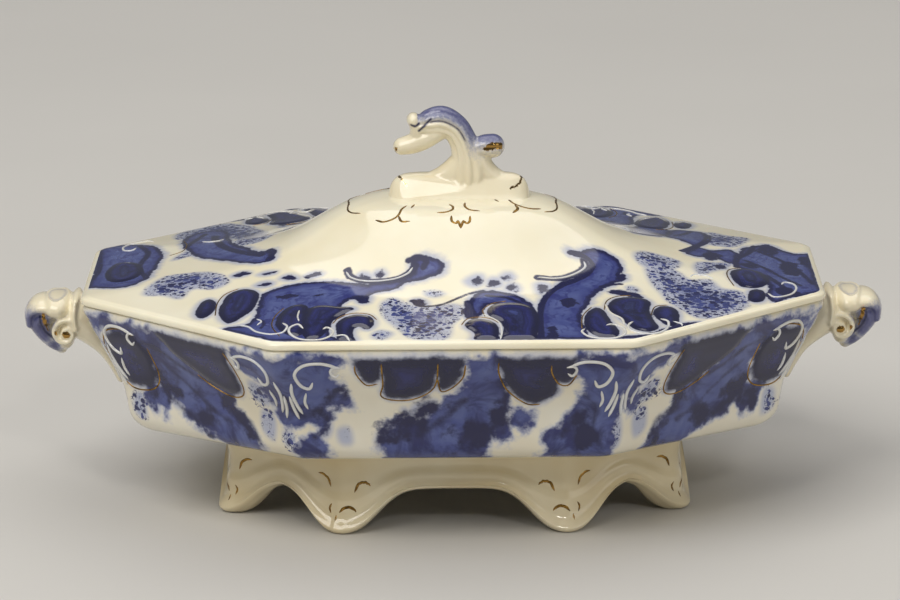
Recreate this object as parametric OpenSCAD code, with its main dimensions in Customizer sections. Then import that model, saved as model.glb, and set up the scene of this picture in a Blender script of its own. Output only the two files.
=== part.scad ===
// Covered vegetable dish in glazed earthenware: an eight-sided dish luted to an arched foot,
// with two lug handles, and a domed lid carrying a scroll finial.
// Millimetres. The origin is the middle of the footprint on the table. +X points at the right
// handle, -Y at the front of the dish and +Z up.

/* [Rim] */
// Length of the lid's rim, end to end
rim_length = 270; // [250:1:290]
// Width of the lid's rim, front to back
rim_width = 202; // [190:1:216]
// Length of the straight edge at the front and at the back
front_edge = 127.4; // [116:0.2:138]
// Length of the straight edge at each end
end_edge = 72.4; // [66:0.2:80]
// Height of the lid's seat on the dish's lip
seat_z = 79; // [76:0.5:84]
// Radius that rounds the rim's corners
corner_r = 8; // [5:0.5:11]

/* [Walls] */
// Thickness of the dish's wall and of the lid
wall = 4; // [3.4:0.1:4.6]
// Width of the dish's lip
lip = 9; // [8:0.5:10]
// Depth of the locating flange under the lid
flange_depth = 6; // [4:0.5:8]
// Gap between the locating flange and the dish's lip
flange_gap = 0.8; // [0.5:0.1:1.5]
// Air gap at the lid's seat, which keeps the two loose pieces apart
seat_gap = 0.2; // [0.1:0.05:0.4]

/* [Lid] */
// Thickness of the lid's edge
edge_h = 3; // [2.5:0.1:3.5]
// Height of the dome above the lid's seat
dome_h = 33; // [30:0.5:36]

/* [Foot] */
// Length of the foot's outer face, end to end
foot_length = 172; // [164:1:180]
// Width of the foot's outer face, front to back
foot_width = 126; // [120:1:132]
// Length of the foot's straight edge at the front and at the back
foot_front_edge = 84; // [78:1:90]
// Length of the foot's straight edge at each end
foot_end_edge = 68; // [62:1:74]
// Height of the dish's underside, where the foot is luted on
foot_top_z = 32.5; // [31:0.5:34]
// Height of the long arches at the front and at the back
front_arch_h = 16.4; // [14:0.5:18]
// Height of the arches at the four slanting sides
slant_arch_h = 14.5; // [12:0.5:16]
// Height of the arches at the two ends
end_arch_h = 15.5; // [13:0.5:17]
// Half width of a lobe of the foot where its arch begins
lobe_half_w = 16.5; // [14:0.5:18]

/* [Handles] */
// Distance from the middle of the dish to the tip of a handle
handle_reach = 159.3; // [157.3:0.5:161.3]

/* [Hidden] */

cream = [0.93, 0.91, 0.83];
cobalt = [0.20, 0.23, 0.56];
bite = 1;               // how far a luted piece sinks into its neighbour
corner_steps = 4;       // facets in one rounded corner
edge_steps = 4;         // facets along one straight edge of the rim
foot_edge_steps = 14;   // facets along one straight edge of the foot
bead_fn = 20;           // facets round a bead of a handle or of the finial

// An outline is [half length, half width, half front edge, half end edge].
rim = [rim_length / 2, rim_width / 2, front_edge / 2, end_edge / 2];
foot_rim = [foot_length / 2, foot_width / 2, foot_front_edge / 2, foot_end_edge / 2];

function unit(v) = v / norm(v);

// The same outline with every side moved inwards by t.
function inset(o, t) =
    let (run = o[0] - o[2], rise = o[1] - o[3], side = norm([run, rise]))
    [o[0] - t, o[1] - t, o[2] - t * (side - run) / rise, o[3] - t * (side - rise) / run];

// The outline's eight corners, counter-clockwise from the front's right end.
function corners(o) = [
    [o[2], -o[1]], [o[0], -o[3]], [o[0], o[3]], [o[2], o[1]],
    [-o[2], o[1]], [-o[0], o[3]], [-o[0], -o[3]], [-o[2], -o[1]]
];

// One corner as an arc of radius r, between the corner before it and the one after it.
function corner_arc(before, at, after, r) =
    let (
        back = unit(before - at),
        on = unit(after - at),
        half = acos(back * on) / 2,
        centre = at + unit(back + on) * r / sin(half),
        start = at + back * r / tan(half) - centre,
        first = atan2(start[1], start[0]),
        sweep = 180 - 2 * half
    )
    [for (k = [0:corner_steps])
        let (turn = first + sweep * k / corner_steps)
        centre + r * [cos(turn), sin(turn)]];

// The whole outline as points: eight arcs joined by straight edges.
function outline(o, r, steps) =
    let (
        c = corners(o),
        arcs = [for (i = [0:7]) corner_arc(c[(i + 7) % 8], c[i], c[(i + 1) % 8], r)]
    )
    [for (i = [0:7]) each concat(
        arcs[i],
        [for (k = [1:steps - 1])
            let (from = arcs[i][corner_steps], to = arcs[(i + 1) % 8][0])
            from + (to - from) * k / steps]
    )];

// Triangles between ring j and ring k, each of n points.
function band(j, k, n) = [
    for (i = [0:n - 1])
        let (next = (i + 1) % n)
        each [[j * n + i, j * n + next, k * n + i], [j * n + next, k * n + next, k * n + i]]
];

// A closed skin through rings of equal length, whose two ends close on points.
module loft(rings, start_point, end_point) {
    n = len(rings[0]);
    m = len(rings);
    start_cap = [for (i = [0:n - 1]) [m * n, (i + 1) % n, i]];
    end_cap = [for (i = [0:n - 1]) [m * n + 1, (m - 1) * n + i, (m - 1) * n + (i + 1) % n]];
    polyhedron(
        points = concat([for (ring = rings) each ring], [start_point, end_point]),
        faces = concat([for (j = [0:m - 2]) each band(j, j + 1, n)], start_cap, end_cap),
        convexity = 6
    );
}

// A level ring at height z of the rim's outline inset by t.
function inset_ring(t, z) =
    [for (p = outline(inset(rim, t), corner_r, edge_steps)) [p[0], p[1], z]];

// ---- Lid ----

flange_rise = 10;       // how far the lid's flange climbs from the rim to the middle
dome_k = 0.39;          // scale of the rim at which the dome is at half its height
dome_power = 7;         // how abruptly the dome leaves the flange
lid_wall = wall + 0.6;  // the lid's thickness measured straight down

// Height above the seat of the lid's outer face, on the rim's outline shrunk to scale k.
function lid_h(k) =
    edge_h + flange_rise * (1 - pow(k, 1.4))
    + (dome_h - edge_h - flange_rise) / (1 + pow(k / dome_k, dome_power));

// A ring of the lid at scale k, which turns from the octagon to an ellipse towards the top.
function lid_ring(k, down) =
    let (soft = pow(1 - k, 1.6))
    [for (p = outline(rim, corner_r + 6 * (1 - k), edge_steps))
        let (q = k * p * (1 - soft + soft / norm([p[0] / rim[0], p[1] / rim[1]])))
        [q[0], q[1], seat_z + lid_h(k) - down]];

lid_scales = [0.06, 0.14, 0.22, 0.28, 0.33, 0.37, 0.41, 0.45, 0.5, 0.57, 0.68, 0.8, 0.91, 0.985];
inner_scales = [0.85, 0.72, 0.6, 0.51, 0.45, 0.41, 0.37, 0.33, 0.28, 0.22, 0.14, 0.06];

// The rim's rounded edge and the locating flange: [inset, height above the seat].
lid_edge = [
    [0.6, edge_h - 0.3], [0, edge_h - 1.1], [0, seat_gap + 0.9], [0.8, seat_gap],
    [lip + flange_gap, seat_gap], [lip + flange_gap, 0.8 - flange_depth],
    [lip + flange_gap + 0.8, -flange_depth], [lip + flange_gap + wall - 1.6, -flange_depth],
    [lip + flange_gap + wall - 0.8, 0.8 - flange_depth], [lip + flange_gap + wall, -1],
    [lip + flange_gap + wall + 1.6, 0.3]
];

module lid() {
    color(cream)
        loft(
            concat(
                [for (k = lid_scales) lid_ring(k, 0)],
                [for (e = lid_edge) inset_ring(e[0], seat_z + e[1])],
                [for (k = inner_scales) lid_ring(k, lid_wall)]
            ),
            [0, 0, seat_z + dome_h],
            [0, 0, seat_z + dome_h - lid_wall]
        );
}

// ---- Bowl ----

floor_t = wall;         // thickness of the dish's bottom

// The dish's outline where its wall has come in by t: the end edges grow a little on the way.
function wall_outline(t) = [rim[0] - t, rim[1] - t, rim[2] - 0.48 * t, rim[3] + 0.1 * t];

// A ring of the dish: the outline at t, inset by a thickness, at height z.
function bowl_ring(t, thick, z) =
    [for (p = outline(inset(wall_outline(t), thick), corner_r, edge_steps)) [p[0], p[1], z]];

// Outer face from the lip down to the foot: [how far the wall has come in, height].
bowl_outside = [
    [1.8, seat_z], [1, seat_z - 0.7], [0.8, seat_z - 2], [1.2, seat_z - 3.2], [2, seat_z - 4.4],
    [3, seat_z - 6.4], [4.4, seat_z - 9.4], [6.9, seat_z - 13.6], [10.6, seat_z - 20],
    [13.4, seat_z - 26], [15.2, seat_z - 32], [16.6, foot_top_z + 7], [17.8, foot_top_z + 4.2],
    [20, foot_top_z + 2], [23.4, foot_top_z + 0.6], [28, foot_top_z]
];

// Inner face from the flat bottom up to the lip: [how far the wall has come in, height].
bowl_inside = [
    [30, foot_top_z + floor_t], [24, foot_top_z + floor_t + 0.6],
    [20, foot_top_z + floor_t + 2.6], [17.6, foot_top_z + floor_t + 6], [15.4, seat_z - 31],
    [13.4, seat_z - 25.4], [10.6, seat_z - 19.4], [7.2, seat_z - 13.4]
];

module bowl() {
    color(cobalt)
        loft(
            concat(
                [for (e = bowl_inside) bowl_ring(e[0], wall, e[1])],
                [bowl_ring(0, lip + 0.2, seat_z - flange_depth - 2)],
                [bowl_ring(0, lip, seat_z - 0.6)],
                [bowl_ring(0, lip - 0.6, seat_z)],
                [for (e = bowl_outside) bowl_ring(e[0], 0, e[1])]
            ),
            [0, 0, foot_top_z + floor_t],
            [0, 0, foot_top_z]
        );
}

// The dish's outside sunk by the bite, which the handles are cut back to.
module bowl_core() {
    loft(
        [for (e = bowl_outside) bowl_ring(e[0], bite, e[1])],
        [0, 0, seat_z],
        [0, 0, foot_top_z]
    );
}

// ---- Foot ----

slant_lobe = 0.98;      // a lobe's half width on a slanting side, of that on a straight one
lobe_power = 2.6;       // how fast the arch rises from the lobe
pad_cut = 0.6;          // how much of each lobe is ground off to stand flat

// Arch height and lobe half width of the eight sides, in the order of the corners.
slant_side = [slant_arch_h, lobe_half_w * slant_lobe];
end_side = [end_arch_h, lobe_half_w];
front_side = [front_arch_h, lobe_half_w];
foot_sides = [
    slant_side, end_side, slant_side, front_side, slant_side, end_side, slant_side, front_side
];

// At each point of the foot's outline: [share of the arch's height, arch height].
foot_stations =
    let (
        points = outline(foot_rim, corner_r, foot_edge_steps),
        per_side = len(points) / 8
    )
    [for (i = [0:len(points) - 1])
        let (
            side = foot_sides[floor(i / per_side)],
            away = min([for (c = corners(foot_rim)) norm(points[i] - c)]),
            share = 1 - exp(-pow(away / side[1], lobe_power))
        )
        [share, side[0]]];

// The foot's section: [inset at an arch, inset at a lobe, share of the way down, extra height].
foot_section = [
    [0, 0, 0, 0], [3.4, 3, 0.3, 0], [4.4, 3.6, 0.5, 0], [2.6, 2.2, 0.68, 0], [3, 2.6, 0.8, 0],
    [1.4, -0.4, 0.92, 0], [1.2, -0.8, 1, 1.6], [3, 1.2, 1, 0], [5, 4, 1, -pad_cut],
    [7.4, 7.4, 1, 0.2], [9.4, 10, 1, 2.6], [10, 10.6, 0.8, 0], [8.6, 9, 0.45, 0], [7.6, 7.6, 0, 0]
];

function foot_ring(s) =
    let (
        at_arch = outline(inset(foot_rim, s[0]), corner_r, foot_edge_steps),
        at_lobe = outline(inset(foot_rim, s[1]), corner_r, foot_edge_steps),
        top = foot_top_z + bite
    )
    [for (i = [0:len(at_arch) - 1])
        let (
            share = foot_stations[i][0],
            low = share * foot_stations[i][1],
            p = share * at_arch[i] + (1 - share) * at_lobe[i]
        )
        [p[0], p[1], top + (low - top) * s[2] + s[3]]];

module foot() {
    n = len(foot_stations);
    m = len(foot_section);
    color(cream)
        difference() {
            polyhedron(
                points = [for (s = foot_section) each foot_ring(s)],
                faces = [for (j = [0:m - 1]) each band(j, (j + 1) % m, n)],
                convexity = 8
            );
            translate([-foot_length, -foot_width, -10])
                cube([2 * foot_length, 2 * foot_width, 10]);
        }
}

// ---- Scrolls ----

// One bead of a scroll: [x, z, radius, half width].
module bead(b) {
    translate([b[0], 0, b[1]])
        scale([1, b[3] / b[2], 1])
            sphere(b[2], $fn = bead_fn);
}

// A chain of beads, each joined to the next by a hull.
module scroll(beads) {
    for (i = [0:len(beads) - 2])
        hull() {
            bead(beads[i]);
            bead(beads[i + 1]);
        }
}

// ---- Handles ----

tip_x = handle_reach;

handle_bracket = [
    [tip_x - 36, 42.6, 3, 5], [tip_x - 33.4, 50, 4, 7], [tip_x - 28.4, 60.2, 6.4, 10],
    [tip_x - 22.4, 66.8, 9.2, 13.5], [tip_x - 17.8, 67.4, 9, 15]
];
handle_head = [
    [tip_x - 17.8, 67.8, 8.6, 14.5], [tip_x - 11.4, 69, 7.4, 13.5], [tip_x - 6.2, 68, 6.2, 11]
];
handle_lobe = [
    [tip_x - 6.2, 67.8, 6.2, 10.5], [tip_x - 8.8, 62.8, 5.6, 8.5], [tip_x - 13.2, 53.6, 2, 3.4]
];
handle_curl = [
    [tip_x - 18.4, 60.6, 4.8, 12], [tip_x - 14.8, 58.6, 4.2, 11.5], [tip_x - 11, 61.6, 4.6, 10]
];

module lug_handle() {
    color(cream)
        difference() {
            union() {
                scroll(handle_bracket);
                scroll(handle_head);
                scroll(handle_lobe);
                scroll(handle_curl);
            }
            bowl_core();
        }
}

module handle_right() {
    lug_handle();
}

module handle_left() {
    mirror([1, 0, 0])
        lug_handle();
}

// ---- Finial ----

dome_z = seat_z + dome_h;

finial_base = [
    [-20.4, dome_z + 3.4, 3.2, 6], [-10, dome_z + 3.6, 3.6, 9], [4, dome_z + 4.4, 5.2, 10.5],
    [15, dome_z + 3.8, 3.8, 9.5], [25.4, dome_z + 3.2, 3.4, 6]
];
finial_stem = [
    [6, dome_z + 6, 8.6, 8], [5.6, dome_z + 12, 6.5, 6.6], [4.4, dome_z + 18, 6, 6.2],
    [1.4, dome_z + 23.4, 6.2, 6.2], [-3.2, dome_z + 26.5, 6.1, 6.4], [-9, dome_z + 24.6, 5.6, 6.4],
    [-12.2, dome_z + 26, 4.1, 6.4]
];
finial_head = [
    [-9.6, dome_z + 23.6, 5.4, 6], [-11.4, dome_z + 20, 5, 5.4], [-18.2, dome_z + 17, 3.5, 4.6]
];
finial_bulb = [
    [7, dome_z + 11, 6, 6.4], [12, dome_z + 15.4, 4.6, 5.6], [14.7, dome_z + 17.2, 4.8, 6]
];

module finial() {
    color(cream)
        difference() {
            union() {
                scroll(finial_base);
                scroll(finial_stem);
                scroll(finial_head);
                scroll(finial_bulb);
            }
            loft(
                [for (k = [0.05, 0.12, 0.2, 0.28, 0.35]) lid_ring(k, bite)],
                [0, 0, dome_z - bite],
                [0, 0, seat_z]
            );
        }
}

bowl();
foot();
handle_left();
handle_right();
lid();
finial();
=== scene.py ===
import math

import bpy
import numpy as np
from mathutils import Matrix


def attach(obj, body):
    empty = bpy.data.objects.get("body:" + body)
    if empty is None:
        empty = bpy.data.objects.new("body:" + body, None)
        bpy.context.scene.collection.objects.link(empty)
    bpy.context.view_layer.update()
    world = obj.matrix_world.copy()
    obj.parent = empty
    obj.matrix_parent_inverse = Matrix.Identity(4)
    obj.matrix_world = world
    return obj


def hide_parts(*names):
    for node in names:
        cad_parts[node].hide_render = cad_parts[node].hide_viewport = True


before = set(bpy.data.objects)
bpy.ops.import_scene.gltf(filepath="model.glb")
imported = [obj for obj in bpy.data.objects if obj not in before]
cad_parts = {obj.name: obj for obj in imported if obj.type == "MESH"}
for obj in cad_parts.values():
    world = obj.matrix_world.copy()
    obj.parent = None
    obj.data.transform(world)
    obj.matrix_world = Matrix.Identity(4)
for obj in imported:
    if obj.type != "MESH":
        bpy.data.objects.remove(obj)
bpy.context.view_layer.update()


# Shared geometry, in millimetres until a mesh is made.

# Catmull-Rom: on each span the curve is the cubic that passes through both end points with the
# slope given by their neighbours. The result is respaced to an even step.
def smoothCurve(points, step, closed=False):
    p = np.asarray(points, float)
    if closed:
        q = np.vstack([p[-1:], p, p[:2]])
    else:
        q = np.vstack([2 * p[:1] - p[1:2], p, 2 * p[-1:] - p[-2:-1]])
    u = np.linspace(0, 1, 14, endpoint=False)[:, None, None]
    a, b, c, d = q[:-3], q[1:-2], q[2:-1], q[3:]
    curve = 0.5 * (
        2 * b + (c - a) * u + (2 * a - 5 * b + 4 * c - d) * u**2 + (3 * b - a - 3 * c + d) * u**3
    )
    curve = curve.transpose(1, 0, 2).reshape(-1, p.shape[1])
    last = curve[:1] if closed else p[-1:]
    curve = np.vstack([curve, last])
    along = np.concatenate([[0], np.cumsum(np.linalg.norm(np.diff(curve, axis=0), axis=1))])
    count = max(4, int(round(along[-1] / step)))
    where = np.linspace(0, along[-1], count + 1)
    return np.stack([np.interp(where, along, curve[:, i]) for i in range(p.shape[1])], -1)


# Distance from each point to the nearest stretch of a chain of points.
def chainDistance(px, py, chain):
    a, b = chain[:-1], chain[1:]
    dx, dy = b[:, 0] - a[:, 0], b[:, 1] - a[:, 1]
    t = ((px[:, None] - a[:, 0]) * dx + (py[:, None] - a[:, 1]) * dy) / (dx * dx + dy * dy + 1e-12)
    t = np.clip(t, 0, 1)
    return np.hypot(px[:, None] - a[:, 0] - t * dx, py[:, None] - a[:, 1] - t * dy).min(axis=1)


farOff = 9.0    # a print's distance is followed this many millimetres out


# Signed distance to a closed outline: the least distance to its stretches, positive inside, where
# a ray crosses the outline an odd number of times.
def blobDistance(x, y, points, step=1.6):
    outline = smoothCurve(points, step, closed=True)
    low, high = outline.min(axis=0) - farOff, outline.max(axis=0) + farOff
    near = (x > low[0]) & (x < high[0]) & (y > low[1]) & (y < high[1])
    result = np.full(x.shape, -farOff)
    if not near.any():
        return result
    px, py = x[near], y[near]
    away = chainDistance(px, py, outline)
    a, b = outline[:-1], outline[1:]
    over = (a[:, 1] > py[:, None]) != (b[:, 1] > py[:, None])
    rise = np.where(b[:, 1] == a[:, 1], 1e-9, b[:, 1] - a[:, 1])
    crossAt = a[:, 0] + (b[:, 0] - a[:, 0]) * (py[:, None] - a[:, 1]) / rise
    inside = (over & (px[:, None] < crossAt)).sum(axis=1) % 2 == 1
    result[near] = np.where(inside, away, -np.minimum(away, farOff))
    return result


# Signed distance to a brush stroke: half its width less the distance to its line.
def strokeDistance(x, y, points, width):
    line = smoothCurve(points, 1.2)
    low, high = line.min(axis=0) - farOff, line.max(axis=0) + farOff
    near = (x > low[0]) & (x < high[0]) & (y > low[1]) & (y < high[1])
    result = np.full(x.shape, -farOff)
    if near.any():
        result[near] = np.maximum(width / 2 - chainDistance(x[near], y[near], line), -farOff)
    return result


# The greatest of several signed distances, which is their union.
def unionDistance(x, y, blobs=(), strokes=()):
    result = np.full(x.shape, -farOff)
    for blob in blobs:
        result = np.maximum(result, blobDistance(x, y, blob))
    for width, line in strokes:
        result = np.maximum(result, strokeDistance(x, y, line, width))
    return result


# Columns of an eight-sided ring: for each one its corner, whether it lies on that corner's arc, and
# how far it is along the arc or along the edge after it.
def ringColumns(arcSteps, edgeSteps):
    corner, onArc, share = [], [], []
    for c, steps in enumerate(edgeSteps):
        corner.append(np.full(arcSteps + steps, c))
        onArc.append(np.arange(arcSteps + steps) <= arcSteps)
        share.append(np.concatenate([np.arange(arcSteps + 1) / arcSteps, np.arange(1, steps) / steps]))
    return np.concatenate(corner), np.concatenate(onArc), np.concatenate(share)


def unit(v):
    return v / np.linalg.norm(v, axis=-1, keepdims=True)


# The octagon's corners, counter-clockwise from the right end of its front edge.
def octagonCorners(sizes):
    halfLength, halfWidth, frontEdge, endEdge = sizes
    right = np.array(
        [[frontEdge, -halfWidth], [halfLength, -endEdge], [halfLength, endEdge], [frontEdge, halfWidth]]
    )
    return np.vstack([right, -right])


# One ring of an octagon: round each corner the circle of that radius which touches both edges,
# and between two corners the straight line.
def octagonRing(sizes, radius, columns):
    corners = octagonCorners(sizes)
    back = unit(np.roll(corners, 1, axis=0) - corners)
    on = unit(np.roll(corners, -1, axis=0) - corners)
    half = np.arccos((back * on).sum(axis=1, keepdims=True)) / 2
    centre = corners + unit(back + on) * radius / np.sin(half)
    start = corners + back * radius / np.tan(half)
    leave = corners + on * radius / np.tan(half)
    arrive = np.roll(start, -1, axis=0)
    first = np.arctan2(*(start - centre).T[::-1])
    sweep = math.pi - 2 * half[:, 0]
    c, onArc, share = columns
    turn = first[c] + sweep[c] * share
    arc = centre[c] + radius * np.stack([np.cos(turn), np.sin(turn)], -1)
    edge = leave[c] + (arrive[c] - leave[c]) * share[:, None]
    return np.where(onArc[:, None], arc, edge)


# Every side of the octagon moved inwards by t.
def insetSizes(sizes, t):
    halfLength, halfWidth, frontEdge, endEdge = sizes
    run, rise = halfLength - frontEdge, halfWidth - endEdge
    side = math.hypot(run, rise)
    return (
        halfLength - t,
        halfWidth - t,
        frontEdge - t * (side - run) / rise,
        endEdge - t * (side - rise) / run,
    )


# Faces of a grid that closes round its columns, with a point closing each open end.
def ringFaces(rows, columns, closedRows=False):
    last = rows if closedRows else rows - 1
    i = np.arange(last)[:, None]
    j = np.arange(columns)[None, :]
    k = (j + 1) % columns
    down = (i + 1) % rows
    return np.stack(
        [i * columns + j, down * columns + j, down * columns + k, i * columns + k], -1
    ).reshape(-1, 4)


def poleFaces(rows, columns):
    j = np.arange(columns)
    k = (j + 1) % columns
    top = np.stack([np.full(columns, rows * columns), j, k], -1)
    low = (rows - 1) * columns
    bottom = np.stack([np.full(columns, rows * columns + 1), low + k, low + j], -1)
    return np.vstack([top, bottom])


# Puts several point and face sets into one.
def joinParts(parts):
    points, faces, start = [], [], 0
    for p, f in parts:
        points.append(p)
        faces += [(g + start).tolist() for g in f]
        start += len(p)
    return np.vstack(points), [face for block in faces for face in block]


def makeMesh(name, points, faces):
    mesh = bpy.data.meshes.new(name)
    mesh.from_pydata((np.asarray(points) * 0.001).tolist(), [], faces)
    mesh.polygons.foreach_set("use_smooth", np.ones(len(mesh.polygons), bool))
    mesh.update()
    return mesh


def addPiece(name, mesh, material, body, layers=None):
    piece = bpy.data.objects.new(name, mesh)
    bpy.context.scene.collection.objects.link(piece)
    mesh.materials.clear()
    mesh.materials.append(material)
    for layer, values in (layers or {}).items():
        mesh.attributes.new(layer, "FLOAT", "POINT").data.foreach_set(
            "value", np.asarray(values, np.float32)
        )
    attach(piece, body)
    triangles = len(mesh.loops) - 2 * len(mesh.polygons)
    print("made", name, "with", triangles, "triangles")
    return piece


# A raised line: half an ellipse carried along a path that lies on a surface, thinning to both
# ends. The surface gives a point and an upward direction for each place on the path.
def raisedLine(path, width, height, surface, step=0.7):
    line = smoothCurve(path, step)
    centre, up = surface(line[:, 0], line[:, 1])
    along = unit(np.gradient(centre, axis=0))
    side = unit(np.cross(up, along))
    travelled = np.concatenate([[0], np.cumsum(np.linalg.norm(np.diff(centre, axis=0), axis=1))])
    fromEnd = np.minimum(travelled, travelled[-1] - travelled)
    swell = np.sqrt(np.clip(0.06 + fromEnd / (1.8 * width), 0, 1))[:, None, None]
    angle = np.linspace(0, 2 * math.pi, 8, endpoint=False)[None, :, None]
    lift = np.where(np.sin(angle) > 0, height, 0.3)
    ring = centre[:, None] + swell * (
        side[:, None] * np.cos(angle) * width / 2 + up[:, None] * np.sin(angle) * lift
    )
    ends = np.stack([centre[0] - along[0] * 0.1, centre[-1] + along[-1] * 0.1])
    rows = len(line)
    faces = ringFaces(rows, 8)[:, ::-1]
    poles = poleFaces(rows, 8)[:, ::-1]
    return np.vstack([ring.reshape(-1, 3), ends]), [faces, poles]


# Materials.

# An sRGB hex colour in the linear values that a shader takes.
def linear(hexColour):
    parts = [int(hexColour[i:i + 2], 16) / 255 for i in (1, 3, 5)]
    return [c / 12.92 if c <= 0.04045 else ((c + 0.055) / 1.055) ** 2.4 for c in parts] + [1]


# Adds a node. A setting whose name starts in lower case is a property of the node, any other is a
# socket's value; a link's value is a node, or a node and the name or number of its output.
def addNode(tree, kind, settings=None, links=None):
    node = tree.nodes.new(kind)
    for key, value in (settings or {}).items():
        if isinstance(key, str) and key[0].islower():
            setattr(node, key, value)
        else:
            node.inputs[key].default_value = value
    for key, source in (links or {}).items():
        origin, output = source if isinstance(source, tuple) else (source, 0)
        tree.links.new(origin.outputs[output], node.inputs[key])
    return node


def newMaterial(name):
    material = bpy.data.materials.new(name)
    material.use_nodes = True
    material.node_tree.nodes.clear()
    return material, material.node_tree


# Lead-glazed earthenware: a cream-white clay under a clear glaze that was dipped and fired, so it is
# smooth and glossy with a faint wave, and gives small sharp highlights over a soft, slightly
# translucent body.
glaze = {
    "cream": "#F3ECD2",
    "warmCream": "#E8DAB6",
    "ivory": "#F8F2DA",
    # The foot's two tones are the same cream set darker and warmer: painted shade of the foot under the dish.
    "footShadeCream": "#EADFC0",
    "footShadeWarm": "#D9C79C",
    "roughness": 0.085,
    "ior": 1.5,
    "coat": 0.35,
    "coatRoughness": 0.03,
    "subsurface": 0.06,
    "subsurfaceDepth": 0.0012,
    "waveMm": 9.0,        # one slow wave of the glaze
    "waveHeightMm": 0.05,
    "toneMm": 38.0,       # drift of the clay's colour
}


# The wave of the glaze as a bump, which the highlights run over.
def glazeWave(tree, place, waveMm, heightMm):
    slow = addNode(
        tree,
        "ShaderNodeTexNoise",
        {"Scale": 1 / waveMm, "Detail": 2.0, "Roughness": 0.4},
        {"Vector": place},
    )
    return addNode(
        tree, "ShaderNodeBump", {"Strength": 0.55, "Distance": heightMm * 0.001}, {"Height": slow}
    )


# Object coordinates in millimetres.
def millimetres(tree):
    coordinate = addNode(tree, "ShaderNodeTexCoord")
    return addNode(
        tree, "ShaderNodeMapping", {"Scale": (1000, 1000, 1000)}, {"Vector": (coordinate, "Object")}
    )


def glazeShader(tree, colour, bump, links=None):
    both = {"Base Color": colour, "Normal": bump}
    both.update(links or {})
    shader = addNode(tree, "ShaderNodeBsdfPrincipled", {
        "Roughness": glaze["roughness"],
        "IOR": glaze["ior"],
        "Coat Weight": glaze["coat"],
        "Coat Roughness": glaze["coatRoughness"],
        "Subsurface Weight": glaze["subsurface"],
        "Subsurface Scale": glaze["subsurfaceDepth"],
        "Subsurface Radius": (1.0, 0.75, 0.5),
    }, both)
    addNode(tree, "ShaderNodeOutputMaterial", None, {"Surface": shader})
    return shader


# Plain cream glaze: the clay's colour drifts a little and pools warmer in broad patches.
def makeCreamGlaze(name, light, warm):
    material, tree = newMaterial(name)
    place = millimetres(tree)
    drift = addNode(
        tree, "ShaderNodeTexNoise", {"Scale": 1 / glaze["toneMm"], "Detail": 3.0}, {"Vector": place}
    )
    tone = addNode(tree, "ShaderNodeMapRange", {"From Min": 0.35, "From Max": 0.7}, {"Value": drift})
    specks = addNode(
        tree, "ShaderNodeTexNoise", {"Scale": 0.7, "Detail": 4.0, "Roughness": 0.6}, {"Vector": place}
    )
    dots = addNode(
        tree, "ShaderNodeMapRange", {"From Min": 0.72, "From Max": 0.8, "To Max": 0.35}, {"Value": specks}
    )
    body = addNode(
        tree, "ShaderNodeMix", {"data_type": "RGBA", 6: linear(light), 7: linear(warm)}, {0: tone}
    )
    colour = addNode(
        tree, "ShaderNodeMix", {"data_type": "RGBA", 7: linear("#D9CBA8")}, {0: dots, 6: (body, 2)}
    )
    bump = glazeWave(tree, place, glaze["waveMm"], glaze["waveHeightMm"])
    glazeShader(tree, (colour, 2), bump)
    return material


# Cobalt transfer print under the glaze. The engraved colour was left to flow in the kiln, so each
# blue area has a dark edge, a watery middle with engraved streaks along its outline, and a pale
# blue mist round it. Five point layers give the signed distance in mm to the washes, the shells,
# the dark leaves, the engraved lines and the sprays.
cobalt = {
    "night": "#0B0D38",
    "navy": "#131545",
    "violet": "#262B70",
    "wash": "#3F4A88",
    "paleWash": "#5A669C",
    "mist": "#A4ADCB",
    "mistMm": 3.4,          # how far the colour flowed out
    "streakMm": 2.7,        # spacing of the engraved streaks in a wash
    "ribMm": 2.6,           # spacing of the ribs in a shell
    "petalMm": 2.1,         # one petal or berry of a spray
}
# How soft the print's edges are and how far they wander: the lid's print stayed crisp, the dish's flowed much
# more.
# The dish's set also holds painted shade of the lid over the wall: its brush marks are darker and cover more,
# and its shells stay dark further in.
crispFlow = {
    "edge": 0.32,
    "wobbleMm": 2.4,
    "wobbleDepth": 1.0,
    "cloudMm": 7.0,
    "cloudDepth": 1.6,
    "edgeInk": 0.95,      # dark line at a wash's edge
    "edgeInkMm": 2.7,
    "streaks": 0.6,
    "brushMm": 6.0,       # length of a dark brush mark in a wash
    "brushFrom": 0.5,
    "brushTone": cobalt["violet"],
    "shade": 0.85,        # darkening towards the edge
    "ribs": 0.5,
    "shellMm": 10.0,      # depth at which a shell is palest
    "mottle": 0.85,       # strength of the dark brush marks
}
softFlowAndShade = {
    "edge": 1.5,
    "wobbleMm": 5.0,
    "wobbleDepth": 4.4,
    "cloudMm": 13.0,
    "cloudDepth": 7.0,
    "edgeInk": 0.1,
    "edgeInkMm": 2.0,
    "streaks": 0.1,
    "brushMm": 13.0,
    "brushFrom": 0.42,
    # darker than the lid's brush tone: the print's cobalt with painted shade
    "brushTone": "#1B1F58",
    "shade": 0.3,
    "ribs": 0.35,
    "shellMm": 24.0,
    "mottle": 0.95,
}


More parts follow.
